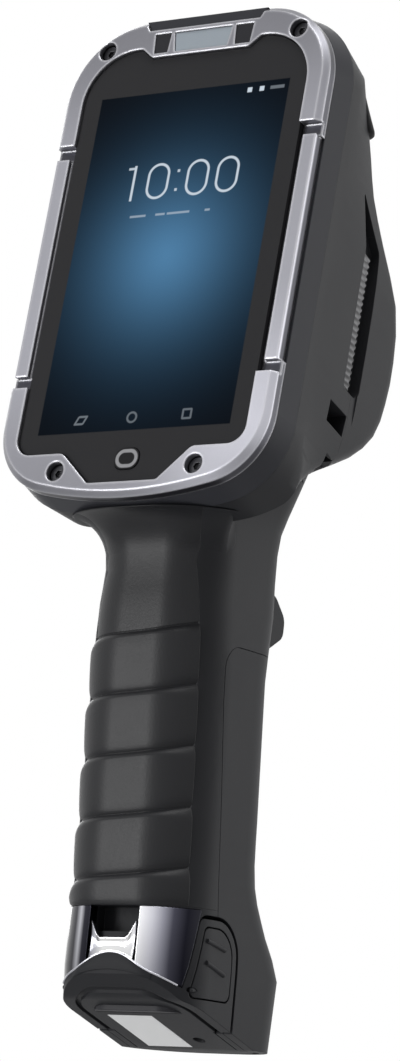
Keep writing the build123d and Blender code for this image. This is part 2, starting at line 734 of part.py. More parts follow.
def bezel_screws():
    """Four socket screws that hold bezel and housings together."""
    screws = []
    for x, y in screw_places(BEZEL_SCREWS):
        screw = rod((x, y, SCREW_SEAT), (x, y, SCREW_SEAT + SCREW_HEAD_T), SCREW_HEAD_R)
        screw += shank(x, y, SCREW_SEAT - SCREW_LENGTH, SCREW_SEAT)
        socket = Pos(x, y, 0) * RegularPolygon(SOCKET_R, 6)
        screw -= prism(socket, SCREW_SEAT + SCREW_HEAD_T - SOCKET_DEPTH, FAR)
        screws.append(HEAD * screw)
    return screws


def screw_holes(low):
    """Shank holes of the bezel's screws, down to a level."""
    return Compound([shank(x, y, low, FAR, SCREW_CLEAR) for x, y in screw_places(BEZEL_SCREWS)])


def key_outline(grow=0.0):
    """The home key from the front."""
    face = RectangleRounded(KEY_W + 2 * grow, KEY_H + 2 * grow, KEY_R + grow)
    return Pos(*HOME_KEY) * face


def panel_outline(grow=0.0):
    """The display panel from the front."""
    return Rectangle(DISPLAY_W + 2 * (PANEL_BORDER + grow), DISPLAY_H + 2 * (PANEL_BORDER + grow))


def cover_glass():
    """Toughened glass over the whole opening, with a hole for the home key."""
    glass = prism(opening_outline(GLASS_GAP), GLASS_TOP - GLASS_T, GLASS_TOP)
    return HEAD * (glass - prism(key_outline(KEY_GAP), -FAR, FAR))


def glass_gasket():
    """Adhesive gasket under the glass, round the display panel."""
    top = GLASS_TOP - GLASS_T
    ring = prism(opening_outline(LEDGE_GAP), top - GASKET_T, top)
    ring -= prism(panel_outline(PANEL_GAP), -FAR, FAR)
    ring -= prism(key_outline(KEY_FLANGE + KEY_BAY_GAP), -FAR, FAR)
    return HEAD * ring


def panel_back():
    """Level of the display panel's back."""
    return GLASS_TOP - GLASS_T - PANEL_T


def display_panel():
    """Display module bonded to the back of the glass."""
    return HEAD * prism(panel_outline(), panel_back(), GLASS_TOP - GLASS_T)


def cavity_outline(shrink=0.0):
    """The front housing's inside from the front."""
    middle = (FRONT_CAVITY_HIGH + FRONT_CAVITY_LOW) / 2
    height = FRONT_CAVITY_HIGH - FRONT_CAVITY_LOW - 2 * shrink
    return Pos(0, middle) * RectangleRounded(2 * (FRONT_CAVITY_HALF_W - shrink), height, FRONT_CAVITY_R)


def display_carrier():
    """Stamped tray behind the display, with posts for the main board."""
    tray = prism(cavity_outline(CARRIER_GAP), SHOULDER - CARRIER_T, SHOULDER)
    tray += prism(panel_outline(-CARRIER_GAP), SHOULDER - CARRIER_T, panel_back())
    for x in (-POST_X, POST_X):
        for y in POST_YS:
            tray += block((x - POST_HALF_W, x + POST_HALF_W), (y - POST_HALF_W, y + POST_HALF_W),
                          (BOARD_LEVEL + BOARD_T, SHOULDER))
    return HEAD * tray


def home_key():
    """Key cap with the flange that keeps it behind the glass."""
    under_glass = GLASS_TOP - GLASS_T
    key = prism(key_outline(), under_glass, GLASS_TOP + KEY_PROUD)
    key += prism(key_outline(KEY_FLANGE), under_glass - KEY_FLANGE_T, under_glass)
    return HEAD * key


def home_key_switch():
    """Push switch on the floor of the key's pocket."""
    x, y = HOME_KEY
    body = block((x - KEY_SWITCH / 2, x + KEY_SWITCH / 2), (y - KEY_SWITCH / 2, y + KEY_SWITCH / 2),
                 (KEY_BAY_FLOOR, KEY_BAY_FLOOR + KEY_SWITCH_T))
    pressed = GLASS_TOP - GLASS_T - KEY_FLANGE_T - KEY_TRAVEL
    button = rod((x, y, KEY_BAY_FLOOR), (x, y, pressed - KEY_BUTTON_GAP), KEY_BUTTON_R)
    return HEAD * (body + button)


def window_piece(window):
    """One of the small windows in the tab."""
    return HEAD * prism(tab_window(window), BEZEL_SEAT, BEZEL_TOP - WINDOW_RECESS)


def light_bar():
    """Diffuser of the status light."""
    return window_piece(LIGHT_BAR)


def light_sensor_window():
    """Dark window of the light sensor."""
    return window_piece(SENSOR_WINDOW)


def camera_window():
    """Dark window of the front camera."""
    return window_piece(CAMERA_WINDOW)


def camera_rod(grow=0.0):
    """Where the camera is, behind its window."""
    x, y = CAMERA_WINDOW[0], (TAB_WINDOW_LOW + TAB_WINDOW_HIGH) / 2
    return rod((x, y, BEZEL_SEAT - CAMERA_T), (x, y, BEZEL_SEAT), CAMERA_R + grow)


def camera_module():
    """Front camera."""
    return HEAD * camera_rod()


def front_housing():
    """Moulded frame between the bezel and the rear housing, with the crest over the tab."""
    body = loft([Pos(0, 0, SEAM) * seam_outline(), Pos(0, 0, BEZEL_SEAT) * bezel_outline()])
    body += prism(opening_outline(LEDGE_GAP), SHOULDER, GLASS_TOP - GLASS_T - GASKET_T)
    crest = prism(crest_outline(CREST_GAP), SHOULDER, CREST_TOP) & prism(bezel_outline(), -FAR, FAR)
    body += crest
    body -= prism(panel_outline(PANEL_GAP), -FAR, FAR)
    body -= prism(cavity_outline(), SEAM - 1, SHOULDER)
    body -= prism(key_outline(KEY_FLANGE + KEY_BAY_GAP), KEY_BAY_FLOOR, FAR)
    body -= camera_rod(KEY_GAP)
    body -= screw_holes(-FAR)
    return HEAD * body


# ---- back of the head --------------------------------------------------------------------------
def seal_ring(grow=0.0):
    """The seal's ring between the housings."""
    inset = SEAL_INSET - SEAM_GROW
    outer = bezel_outline(-inset + grow)
    inner = bezel_outline(-inset - SEAL_W - grow)
    return prism(outer, SEAM - SEAL_T, SEAM) - prism(inner, -FAR, FAR)


def housing_seal():
    """Rubber seal in the rear housing's groove."""
    return HEAD * seal_ring()


def hollow():
    """The head's inside, from the seam to the back's wall (head's frame)."""
    inner = [(y, z + BACK_WALL, 0) for y, z in BACK_LINE if HOLLOW_LOW < y < HOLLOW_TURN]
    slope_low, slope_high = (slope_point(along, -SCAN_WALL) for along in HOLLOW_SLOPE)
    ends = [(y, back_level(y) + BACK_WALL, 0) for y in (HOLLOW_LOW, HOLLOW_TURN)]
    profile = [(HOLLOW_LOW, SEAM + 1, 0), ends[0], *inner, ends[1], (*slope_low, 0), (*slope_high, 0),
               (slope_high[0], SEAM + 1, 0)]
    return side_prism(profile, HOLLOW_HALF_W)


def grille_recess():
    """The slot in the head's right side, with the wedge that leads into it."""
    outline = rounded_polygon([
        (GRILLE_LOW, GRILLE_FRONT, GRILLE_END_R / 2), (GRILLE_LOW, GRILLE_BACK, GRILLE_END_R),
        (GRILLE_HIGH + 1, GRILLE_BACK, GRILLE_END_R), (WEDGE_HIGH, WEDGE_LEVEL, 0.4),
        (GRILLE_HIGH - 1, GRILLE_FRONT, 1.0),
    ])
    return Pos(GRILLE_FLOOR_X, 0, 0) * extrude(Plane.YZ * outline, FAR, dir=(1, 0, 0))


def strap_passage():
    """Way of a strap round its bar: in at the side, behind the bar, out below."""
    inner = (STRAP_INNER_X, FAR)
    way = block(inner, STRAP_HOLE, STRAP_DEPTH)
    way += block((STRAP_INNER_X, STRAP_BAR_X), (STRAP_TURN_Y, STRAP_HOLE[1]), STRAP_DEPTH)
    way += block(inner, STRAP_EXIT, STRAP_EXIT_DEPTH)
    return way


def cover_region(gap=0.0):
    """Where the rear cover is: behind its seam and above the neck."""
    return block((-FAR, FAR), (COVER_LOW - gap, FAR), (-FAR, COVER_SEAM))


@cache
def rear_shape():
    """The whole back with the handle, before it is parted, and with the side recesses."""
    head = rear_form()
    for side in mirrored_pair(grille_recess() + strap_passage()):
        head -= side
    return HEAD * head + handle_form()


def hood_outline(grow=0.0):
    """The scan window's hood, seen square to the slope."""
    return RectangleRounded(2 * (HOOD_HALF_W + grow), 2 * (HOOD_HALF_H + grow), HOOD_R + grow)


def scan_outline(grow=0.0):
    """The scan window, seen square to the slope."""
    return RectangleRounded(2 * (SCAN_WINDOW_HALF_W + grow), 2 * (SCAN_WINDOW_HALF_H + grow),
                            SCAN_WINDOW_R)


def cover_bosses(reach, low, high):
    """Square bosses round the rear cover's screws, reaching out to a place between two levels."""
    bosses = []
    for x, y, _ in COVER_SCREWS:
        half_w = COVER_BOSS_HALF_W
        bosses += mirrored_pair(block((x - half_w, x + reach), (y - half_w, y + half_w), (low, high)))
    return bosses


def rear_housing():
    """Back of the head and the handle's frame in one moulding."""
    body = rear_shape() - HEAD * cover_region(COVER_GAP) - HEAD * hollow()
    inside = hollow() & block((-FAR, FAR), (-FAR, FAR), (COVER_SEAM, FAR))
    for boss in cover_bosses(HOLLOW_HALF_W, COVER_SEAM, COVER_BOSS_END):
        body += HEAD * (boss & inside)
    for x, y, _ in screw_places(COVER_SCREWS):
        body -= HEAD * shank(x, y, COVER_SEAM - 1, COVER_SCREW_END, SCREW_CLEAR)
    body -= HEAD * seal_ring(SEAT_GAP)
    body -= HEAD * screw_holes(SCREW_SEAT - SCREW_LENGTH - 1)
    slope = HEAD * scan_plane()
    body -= slope * prism(hood_outline(SEAT_GAP), HOOD_SEAT, FAR)
    body -= slope * prism(scan_outline(-SCAN_WINDOW_RIM), -SCAN_WALL - 1, 0)
    port = block((HOLLOW_HALF_W - 1, GRILLE_FLOOR_X + 1), SPEAKER_PORT_Y, SPEAKER_PORT_Z)
    body -= HEAD * port
    return body - handle_cuts() - skin_spaces() - collar_region()


def collar_region():
    """All that lies below the seam between the frame and its end."""
    return block((-FAR, FAR), (-FAR, FAR), (-FAR, COLLAR_TOP))


def handle_collar():
    """End of the handle's frame: it carries the bright plates, and the battery foot enters it."""
    return (handle_form() & collar_region()) - handle_cuts() - skin_spaces()


def skin_spaces():
    """Room for the pieces laid over the handle's frame."""
    spaces = [zone - handle_core(inset) for zone, inset in skins()]
    return spaces[0] + spaces[1] + spaces[2]


def handle_cuts():
    """What is taken out of the handle's frame."""
    front, back = BAY_FRONT, BAY_BACK
    bay = Pos(0, (front + back) / 2) * RectangleRounded(2 * BAY_HALF_W, back - front, BAY_R)
    cuts = prism(bay, -FAR, BAY_TOP)
    cuts += foot_region(ARCH_GAP)
    cuts += block((-LOCK_HALF_W, LOCK_HALF_W), (-FAR, LOCK_BACK_Y), (LOCK_LOW, LOCK_HIGH))
    pocket_w = TRIGGER_HALF_W + TRIGGER_GAP
    cuts += block((-pocket_w, pocket_w), (TRIGGER_POCKET_Y, FAR),
                  (TRIGGER_LOW - TRIGGER_LOW_GAP, TRIGGER_HIGH + TRIGGER_GAP))
    cuts += rod((-TRIGGER_PIN_HALF_L, TRIGGER_PIN_Y, TRIGGER_PIN_Z),
                (TRIGGER_PIN_HALF_L, TRIGGER_PIN_Y, TRIGGER_PIN_Z), TRIGGER_PIN_R + TRIGGER_PIN_FIT)
    half_slot = CABLE_HALF_W + CABLE_SLOT
    cuts += block((-half_slot, half_slot), (CABLE_Y - CABLE_SLOT, CABLE_Y + CABLE_SLOT),
                  (BAY_TOP - 1, CABLE_BEND_Z))
    return cuts


def skins():
    """The pieces laid over the handle's frame: where each lies, and how thick it is."""
    return [(grip_zone(), SKIN_T), (spine_zone(), SKIN_T), (chrome_zone(CHROME_GAP), CHROME_T)]


def rear_cover():
    """Domed cover over the back of the head."""
    body = (rear_shape() & HEAD * cover_region()) - HEAD * hollow()
    inside = hollow() & cover_region()
    for boss in cover_bosses(COVER_BOSS_HALF_W, -FAR, COVER_SEAM):
        body += HEAD * (boss & inside)
    for x, y, seat in screw_places(COVER_SCREWS):
        body -= HEAD * rod((x, y, -FAR), (x, y, seat), SCREW_HEAD_R + SCREW_CLEAR)
        body -= HEAD * shank(x, y, seat - 1, COVER_SEAM + 1, SCREW_CLEAR)
    return body


def rear_cover_screws():
    """Four screws through the rear cover."""
    screws = []
    for x, y, seat in screw_places(COVER_SCREWS):
        screw = rod((x, y, seat - SCREW_HEAD_T), (x, y, seat), SCREW_HEAD_R)
        screw += shank(x, y, seat, COVER_SCREW_END - 1)
        screw -= Pos(x, y, 0) * prism(RegularPolygon(SOCKET_R, 6), -FAR, seat - SCREW_HEAD_T + SOCKET_DEPTH)
        screws.append(HEAD * screw)
    return screws


def scan_window_hood():
    """Rubber hood round the scan window."""
    hood = prism(hood_outline(), HOOD_SEAT, HOOD_PROUD)
    top = hood.faces().sort_by(Axis.Z)[-1]
    hood = chamfer(top.edges(), HOOD_EDGE)
    window_top = HOOD_PROUD - SCAN_WINDOW_RECESS
    hood -= prism(scan_outline(WINDOW_FIT), window_top - SCAN_WINDOW_T, FAR)
    hood -= prism(scan_outline(-SCAN_WINDOW_RIM), -FAR, FAR)
    return HEAD * scan_plane() * hood


def scan_window():
    """Dark window of the scan engine."""
    top = HOOD_PROUD - SCAN_WINDOW_RECESS
    return HEAD * scan_plane() * prism(scan_outline(), top - SCAN_WINDOW_T, top)


def engine_block(grow=0.0):
    """The scan engine's box, standing against the slope's inner face (slope's frame)."""
    half_w, half_h = ENGINE_HALF_W + grow, ENGINE_HALF_H + grow
    return block((-half_w, half_w), (-half_h, half_h), (-SCAN_WALL - ENGINE_D - grow, -SCAN_WALL))


def scan_engine():
    """Scan engine with its two lenses."""
    body = engine_block()
    for x in (-LENS_X, LENS_X):
        body -= rod((x, 0, -SCAN_WALL - LENS_DEPTH), (x, 0, 0), LENS_R)
    return HEAD * scan_plane() * body


def scan_bracket():
    """Sheet bracket that holds the scan engine against the slope."""
    sheet = engine_block(BRACKET_T) - engine_block()
    reach = ENGINE_HALF_W + BRACKET_T + BRACKET_FOOT
    foot = block((-reach, reach), (-ENGINE_HALF_H, ENGINE_HALF_H), (-SCAN_WALL - BRACKET_T, -SCAN_WALL))
    sheet += foot - engine_block()
    sheet &= block((-FAR, FAR), (-ENGINE_HALF_H, ENGINE_HALF_H), (-FAR, FAR))
    return HEAD * scan_plane() * sheet


def main_board():
    """Main circuit board on the carrier's posts."""
    middle = (BOARD_HIGH + BOARD_LOW) / 2
    outline = Pos(0, middle) * RectangleRounded(2 * BOARD_HALF_W, BOARD_HIGH - BOARD_LOW, BOARD_R)
    board = prism(outline, BOARD_LEVEL, BOARD_LEVEL + BOARD_T)
    half_w = SOCKET_W / 2
    board += block((-half_w, half_w), SOCKET_Y, (BOARD_LEVEL - SOCKET_T, BOARD_LEVEL))
    return HEAD * board


def shield_can():
    """Screening can over the processor."""
    can = block(CAN_X, CAN_Y, (BOARD_LEVEL - CAN_T, BOARD_LEVEL))
    return HEAD * fillet(can.edges().filter_by(Axis.Z), CAN_R)


def vibration_motor():
    """Vibration motor on the main board."""
    x, y = MOTOR_AT
    level = BOARD_LEVEL - SEAT_GAP - MOTOR_R
    return HEAD * rod((x, y, level), (x, y + MOTOR_L, level), MOTOR_R)


def loudspeaker():
    """Loudspeaker against the side wall, behind its port."""
    box = block((HOLLOW_HALF_W - SPEAKER_T, HOLLOW_HALF_W), SPEAKER_Y, SPEAKER_Z)
    return HEAD * box


def grille_plate():
    """Slotted strip along the front of the slot in the head's right side."""
    gap = GRILLE_PLATE_GAP
    back = GRILLE_FRONT - GRILLE_PLATE_W
    low, high = GRILLE_LOW + GRILLE_END_R, GRILLE_HIGH - GRILLE_END_R
    front = GRILLE_FRONT - gap
    plate = block((GRILLE_FLOOR_X, GRILLE_FLOOR_X + GRILLE_PLATE_T), (low - 1, high), (back, front))
    count = int((high - low) / GRILLE_PITCH)
    half_slit = GRILLE_SLIT / 2
    for place in range(count):
        y = low + (place + 0.5) * GRILLE_PITCH
        plate -= block((0, FAR), (y - half_slit, y + half_slit), (back + GRILLE_RAIL, front - GRILLE_RAIL))
    return HEAD * plate


def speaker_grille_right():
    """Grille over the loudspeaker's port."""
    return grille_plate()


def speaker_grille_left():
    """Its mirror image on the left side."""
    return grille_plate().mirror(Plane.YZ)


# ---- handle --------------------------------------------------------------------------------------
def shingle(low, high):
    """One overlapping band of the grip: widest below its rounded top edge."""
    sections = (
        (low, -SHINGLE_TUCK), (high - SHINGLE_SHOULDER, SHINGLE_PROUD), (high, -SHINGLE_SHOULDER / 3),
    )
    return loft([handle_section(*station_at(z), inset=-grow) for z, grow in sections], ruled=True)


def grip_front():
    """Rubber grip on the handle's front, in overlapping bands."""
    bands = [GRIP_LOW, *SHINGLE_TOPS]
    body = handle_form() & block((-FAR, FAR), (-FAR, FAR), (SHINGLE_TOPS[-1], GRIP_HIGH))
    for low, high in zip(bands, bands[1:]):
        body += shingle(low, high)
    return (body & grip_zone()) - handle_core(SKIN_T - SKIN_GAP)


def handle_spine():
    """Smooth moulding down the handle's back, ending in the heel."""
    zone = spine_zone() & block((-FAR, FAR), (-FAR, FAR), (-FAR, SPINE_TOP - SKIN_GAP))
    front = Pos(0, SKIN_GAP, 0) * zone
    skin = (front & handle_form()) - handle_core(SKIN_T - SKIN_GAP)
    return skin - foot_region(ARCH_GAP)


def chrome_band():
    """The bright band over the arch, before it is parted."""
    return (chrome_zone() & handle_form()) - handle_core(CHROME_T - CHROME_GAP)


def contact_plate_right():
    """Bright contact plate to the right of the lock's saddle."""
    start = SADDLE_HALF_W + CHROME_SLIT
    return chrome_band() & block((start, FAR), (-FAR, FAR), (0, FAR))


def contact_plate_left():
    """Its mirror image on the left."""
    return contact_plate_right().mirror(Plane.YZ)


def lock_saddle():
    """Bright saddle under the cradle lock's recess."""
    middle = block((-SADDLE_HALF_W, SADDLE_HALF_W), (-FAR, FAR), (0, LOCK_LOW))
    return chrome_band() & middle


def contact_block():
    """Moulded block at the top of the battery bay."""
    return block((-CONTACT_BLOCK_HALF_W, CONTACT_BLOCK_HALF_W),
                 (-CONTACT_BLOCK_HALF_D, CONTACT_BLOCK_HALF_D), (CONTACT_BLOCK_LOW, BAY_TOP))


def finger_places():
    """x of each contact finger."""
    first = -(CONTACT_COUNT - 1) / 2 * CONTACT_PITCH
    return [first + place * CONTACT_PITCH for place in range(CONTACT_COUNT)]


def contact_fingers():
    """Sprung contacts that meet the battery pack's pads."""
    tip = PACK_TOP + PAD_T + CONTACT_REACH
    fingers = []
    for x in finger_places():
        strip = side_prism([
            (-CONTACT_BLOCK_HALF_D + 1, CONTACT_BLOCK_LOW, 0), (0, tip, 0),
            (CONTACT_T, tip, 0), (-CONTACT_BLOCK_HALF_D + 1 + 2 * CONTACT_T, CONTACT_BLOCK_LOW, 0),
        ], CONTACT_W / 2)
        fingers.append(Pos(x, 0, 0) * strip)
    return fingers


def handle_cable():
    """Flat cable from the contact block up to the main board's socket."""
    socket_y = (SOCKET_Y[0] + SOCKET_Y[1]) / 2
    level = BOARD_LEVEL - SOCKET_T
    end = HEAD.from_local_coords((0, socket_y, level - CABLE_T / 2))
    run = Polyline((CABLE_Y, BAY_TOP), (CABLE_Y, CABLE_BEND_Z), (end.Y, end.Z))
    strip = offset(run, CABLE_T / 2, kind=Kind.INTERSECTION)
    return extrude(Plane.YZ * make_face(strip), CABLE_HALF_W, both=True, dir=(1, 0, 0))


# ---- trigger -------------------------------------------------------------------------------------
def scan_trigger():
    """Rocking trigger: a finger pad on an arm round the pin, with a rib for the switch."""
    crest, inner = TRIGGER_CREST, TRIGGER_INNER_Y
    arm_low = TRIGGER_PIN_Z - TRIGGER_EYE_R
    arm_front = TRIGGER_PIN_Y - TRIGGER_EYE_R
    pad = side_prism([
        (arm_front, TRIGGER_HIGH, 2.4), (inner + 8.0, TRIGGER_HIGH - 3.3, 5.0),
        (crest, TRIGGER_HIGH - 8.1, 3.5), (crest - 0.4, TRIGGER_LOW + 3.6, 3.0),
        (inner + 6.5, TRIGGER_LOW + 0.2, 1.5), (inner, TRIGGER_LOW, 0.8), (inner, arm_low, 1.0),
        (arm_front, arm_low, 1.8),
    ], TRIGGER_HALF_W)
    pad += block((-NOSE_HALF_W, NOSE_HALF_W), (NOSE_TIP_Y, inner + 1), NOSE_Z)
    hole_r = TRIGGER_PIN_R + TRIGGER_PIN_FIT
    pad -= rod((-FAR, TRIGGER_PIN_Y, TRIGGER_PIN_Z), (FAR, TRIGGER_PIN_Y, TRIGGER_PIN_Z), hole_r)
    return pad


def trigger_pin():
    """Steel pin of the trigger."""
    half_l = TRIGGER_PIN_HALF_L - TRIGGER_PIN_FIT
    return rod((-half_l, TRIGGER_PIN_Y, TRIGGER_PIN_Z), (half_l, TRIGGER_PIN_Y, TRIGGER_PIN_Z),
               TRIGGER_PIN_R)


def trigger_switch():
    """Micro switch on the pocket's wall."""
    wall = TRIGGER_POCKET_Y
    body = block((-SWITCH_HALF_W, SWITCH_HALF_W), (wall, wall + SWITCH_T), SWITCH_Z)
    z = (NOSE_Z[0] + NOSE_Z[1]) / 2
    button = rod((0, wall, z), (0, wall + SWITCH_T + SWITCH_BUTTON, z), SWITCH_BUTTON_R)
    return body + button


def trigger_spring():
    """Leaf spring between the pocket's wall and the pad."""
    wall, inner = TRIGGER_POCKET_Y, TRIGGER_INNER_Y
    low, high = LEAF_Z
    leaf = Polyline((wall + LEAF_T / 2, high), (wall + LEAF_T / 2, high - 5.0), (inner - 1.0, low + 1.0),
                    (inner - 1.0, low + 3.0))
    strip = make_face(offset(leaf, LEAF_T / 2, kind=Kind.INTERSECTION))
    return Pos(LEAF_X[0], 0, 0) * extrude(Plane.YZ * strip, LEAF_X[1] - LEAF_X[0], dir=(1, 0, 0))


# ---- battery and foot ----------------------------------------------------------------------------
def battery_pack():
    """Battery pack that fills the handle, with contact pads on its top."""
    pack = pack_solid()
    for x in finger_places():
        half_w = CONTACT_W / 2
        pack += block((x - half_w, x + half_w), (-2.0, 2.0), (PACK_TOP - 1, PACK_TOP + PAD_T))
    x, y = FOOT_SCREW
    pack -= shank(x, y, 0, FOOT_SCREW_END + 1, SCREW_CLEAR)
    return pack


def rise_plane():
    """Frame on the base's rising part, z out of it."""
    lean = atan2(BASE_RISE, 1.0)
    return Plane(origin=(0, BASE_FLAT_Y, 0), x_dir=(1, 0, 0), z_dir=(0, -sin(lean), -cos(lean)))


def label_solid(grow=0.0):
    """The label plate on the base's rising part, flush with it."""
    plate = Rectangle(LABEL_W + 2 * grow, LABEL_L + 2 * grow)
    return rise_plane() * prism(Pos(LABEL_X, LABEL_ALONG) * plate, -LABEL_T, grow)


def foot_label_plate():
    """Bare plate let into the foot's base."""
    return label_solid()


def base_ring():
    """Groove that runs round the foot's base."""
    section = station_at(HEEL_Z - 1.5)
    outer = handle_section(0, *section[1:], inset=BASE_RING_INSET)
    inner = handle_section(0, *section[1:], inset=BASE_RING_INSET + BASE_RING_W)
    ring = prism(outer, -1, CHROME_TOP) - prism(inner, -2, CHROME_TOP + 1)
    return ring - base_solid(BASE_RING_DEPTH)


def paddle_outline(shrink):
    """Side outline of a latch paddle, inside its cheek."""
    low_y, low_z = CHEEK_FRONT_LOW
    top_y, top_z = CHEEK_FRONT_TOP
    lean = (top_y - low_y) / (top_z - low_z)
    low, top = PADDLE_LOW + shrink, CHEEK_TOP - PADDLE_MARGIN - shrink
    front = [low_y + (z - low_z) * lean + PADDLE_MARGIN + shrink for z in (low, top)]
    back = FOOT_SPLIT_Y - PADDLE_MARGIN - shrink
    return [(front[0], low, 1.2), (back, low, 2.0), (back, top, CHEEK_TOP_R - 1.5), (front[1], top, 1.5)]


def latch_paddle_right():
    """Latch paddle in the right cheek, with its finger ribs and pin stubs."""
    skin = side_prism(paddle_outline(PADDLE_GAP)) & block((PADDLE_X, FAR), (-FAR, FAR), (-FAR, FAR))
    paddle = skin & handle_form()
    front, back = PADDLE_RIB_Y
    for front_z, back_z in PADDLE_RIBS:
        face_x = [edge_x(y, z) for y, z in ((front, front_z), (back, back_z))]
        paddle += rod((face_x[0], front, front_z), (face_x[1], back, back_z), PADDLE_RIB_R)
    ends = paddle.bounding_box()
    hole_r = PADDLE_PIN_R + PADDLE_PIN_FIT
    return paddle - rod((PADDLE_PIN_X, ends.min.Y - 1, PADDLE_PIN_Z),
                        (PADDLE_PIN_X, ends.max.Y + 1, PADDLE_PIN_Z), hole_r)


def edge_x(y, z):
    """x of the handle's right surface at a height, beside its axis."""
    _, half_w, front, back, radius = station_at(z)
    into_corner = max(front + radius - y, y - back + radius, 0.0)
    return half_w - radius + (radius ** 2 - into_corner ** 2) ** 0.5


def latch_paddle_left():
    """Its mirror image in the left cheek."""
    return latch_paddle_right().mirror(Plane.YZ)


def paddle_pin_right():
    """Pin that the right paddle rocks on."""
    front = paddle_outline(0)[0][0] - 1.0
    back = paddle_outline(0)[1][0] + 1.0
    return rod((PADDLE_PIN_X, front, PADDLE_PIN_Z), (PADDLE_PIN_X, back, PADDLE_PIN_Z), PADDLE_PIN_R)


def paddle_pin_left():
    """Its mirror image."""
    return paddle_pin_right().mirror(Plane.YZ)


def battery_foot():
    """Foot of the handle, which carries the battery pack and slides out with it."""
    body = foot_region() & handle_form()
    body -= pack_solid(SEAT_GAP) & block((-FAR, FAR), (-FAR, FAR), (PACK_LOW, FAR))
    pocket = side_prism(paddle_outline(0)) & block((PADDLE_POCKET_X, FAR), (-FAR, FAR), (-FAR, FAR))
    pin = paddle_pin_right()
    for piece in mirrored_pair(pocket + pin):
        body -= piece
    body -= base_ring()
    body -= label_solid(SEAT_GAP)
    x, y = FOOT_SCREW
    body -= rod((x, y, -1), (x, y, FOOT_SCREW_SEAT), FOOT_SCREW_HOLE_R)
    body -= shank(x, y, 0, FAR, SCREW_CLEAR)
    return body


def foot_screw():
    """Screw that fastens the foot to the battery pack."""
    x, y = FOOT_SCREW
    screw = rod((x, y, FOOT_SCREW_SEAT - SCREW_HEAD_T), (x, y, FOOT_SCREW_SEAT), FOOT_SCREW_HEAD_R)
    screw += shank(x, y, FOOT_SCREW_SEAT, FOOT_SCREW_END)
    slot = Pos(x, y, 0) * prism(RegularPolygon(SOCKET_R * 0.8, 6), 0, FOOT_SCREW_SEAT - SCREW_HEAD_T / 2)
    return screw - slot


NODES = [
    front_bezel, bezel_screws, cover_glass, glass_gasket, display_panel, display_carrier, home_key,
    home_key_switch, light_bar, light_sensor_window, camera_window, camera_module, front_housing,
    housing_seal, rear_housing, handle_collar, rear_cover, rear_cover_screws, scan_window_hood,
    scan_window, scan_engine, scan_bracket, main_board, shield_can, vibration_motor, loudspeaker,
    speaker_grille_right, speaker_grille_left, grip_front, handle_spine, contact_plate_right,
    contact_plate_left, lock_saddle, contact_block, contact_fingers, handle_cable, scan_trigger,
    trigger_pin, trigger_switch, trigger_spring, battery_pack, battery_foot, foot_label_plate,
    foot_screw, latch_paddle_right, latch_paddle_left, paddle_pin_right, paddle_pin_left,
]


def main():
    """Write one STEP file per piece."""
    os.makedirs("parts", exist_ok=True)
    for node in NODES:
        solids = node()
        if isinstance(solids, list):
            solids = Compound(children=solids)
        export_step(solids, f"parts/{node.__name__}.step")


if __name__ == "__main__":
    main()
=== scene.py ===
"""Finishes, moulded surface pieces, studio and camera for a handheld data terminal."""

import json
import logging
import math
from dataclasses import dataclass, field
from enum import Enum
from functools import reduce
from typing import Protocol

import bmesh
import bpy
import numpy as np
from mathutils import Matrix, Vector

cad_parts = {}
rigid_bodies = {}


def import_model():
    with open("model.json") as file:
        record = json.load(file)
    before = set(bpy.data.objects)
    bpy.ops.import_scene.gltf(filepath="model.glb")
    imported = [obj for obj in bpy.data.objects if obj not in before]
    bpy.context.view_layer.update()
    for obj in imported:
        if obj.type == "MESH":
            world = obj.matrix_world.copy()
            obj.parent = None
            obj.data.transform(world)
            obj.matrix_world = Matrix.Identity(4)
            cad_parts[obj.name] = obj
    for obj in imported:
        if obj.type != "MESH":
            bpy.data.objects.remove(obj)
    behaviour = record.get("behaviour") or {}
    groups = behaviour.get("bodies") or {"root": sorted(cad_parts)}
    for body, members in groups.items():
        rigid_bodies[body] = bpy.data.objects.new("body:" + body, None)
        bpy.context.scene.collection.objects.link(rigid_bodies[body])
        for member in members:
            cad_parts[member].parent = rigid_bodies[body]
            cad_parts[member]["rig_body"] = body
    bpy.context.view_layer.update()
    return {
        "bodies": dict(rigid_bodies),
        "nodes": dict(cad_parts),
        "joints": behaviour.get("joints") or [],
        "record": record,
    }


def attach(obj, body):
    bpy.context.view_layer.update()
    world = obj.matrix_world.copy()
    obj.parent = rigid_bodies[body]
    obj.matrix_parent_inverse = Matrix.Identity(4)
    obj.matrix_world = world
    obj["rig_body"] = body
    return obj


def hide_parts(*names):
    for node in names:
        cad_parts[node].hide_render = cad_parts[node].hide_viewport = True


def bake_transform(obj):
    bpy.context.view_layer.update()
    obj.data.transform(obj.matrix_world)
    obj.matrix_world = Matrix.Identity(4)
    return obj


log = logging.getLogger("terminal")

Colour = tuple[float, float, float]
Place = tuple[float, float, float]

MM = 0.001
SIDES = (("right", 1.0), ("left", -1.0))
TUBE_CREASE = 35.0      # degrees
SAME_POINT = 0.000002   # metres

# The head leans back about a point on the front of its glass, in metres.
HEAD_TILT = math.radians(11.0)
HEAD_Y = -0.0181
HEAD_Z = 0.180


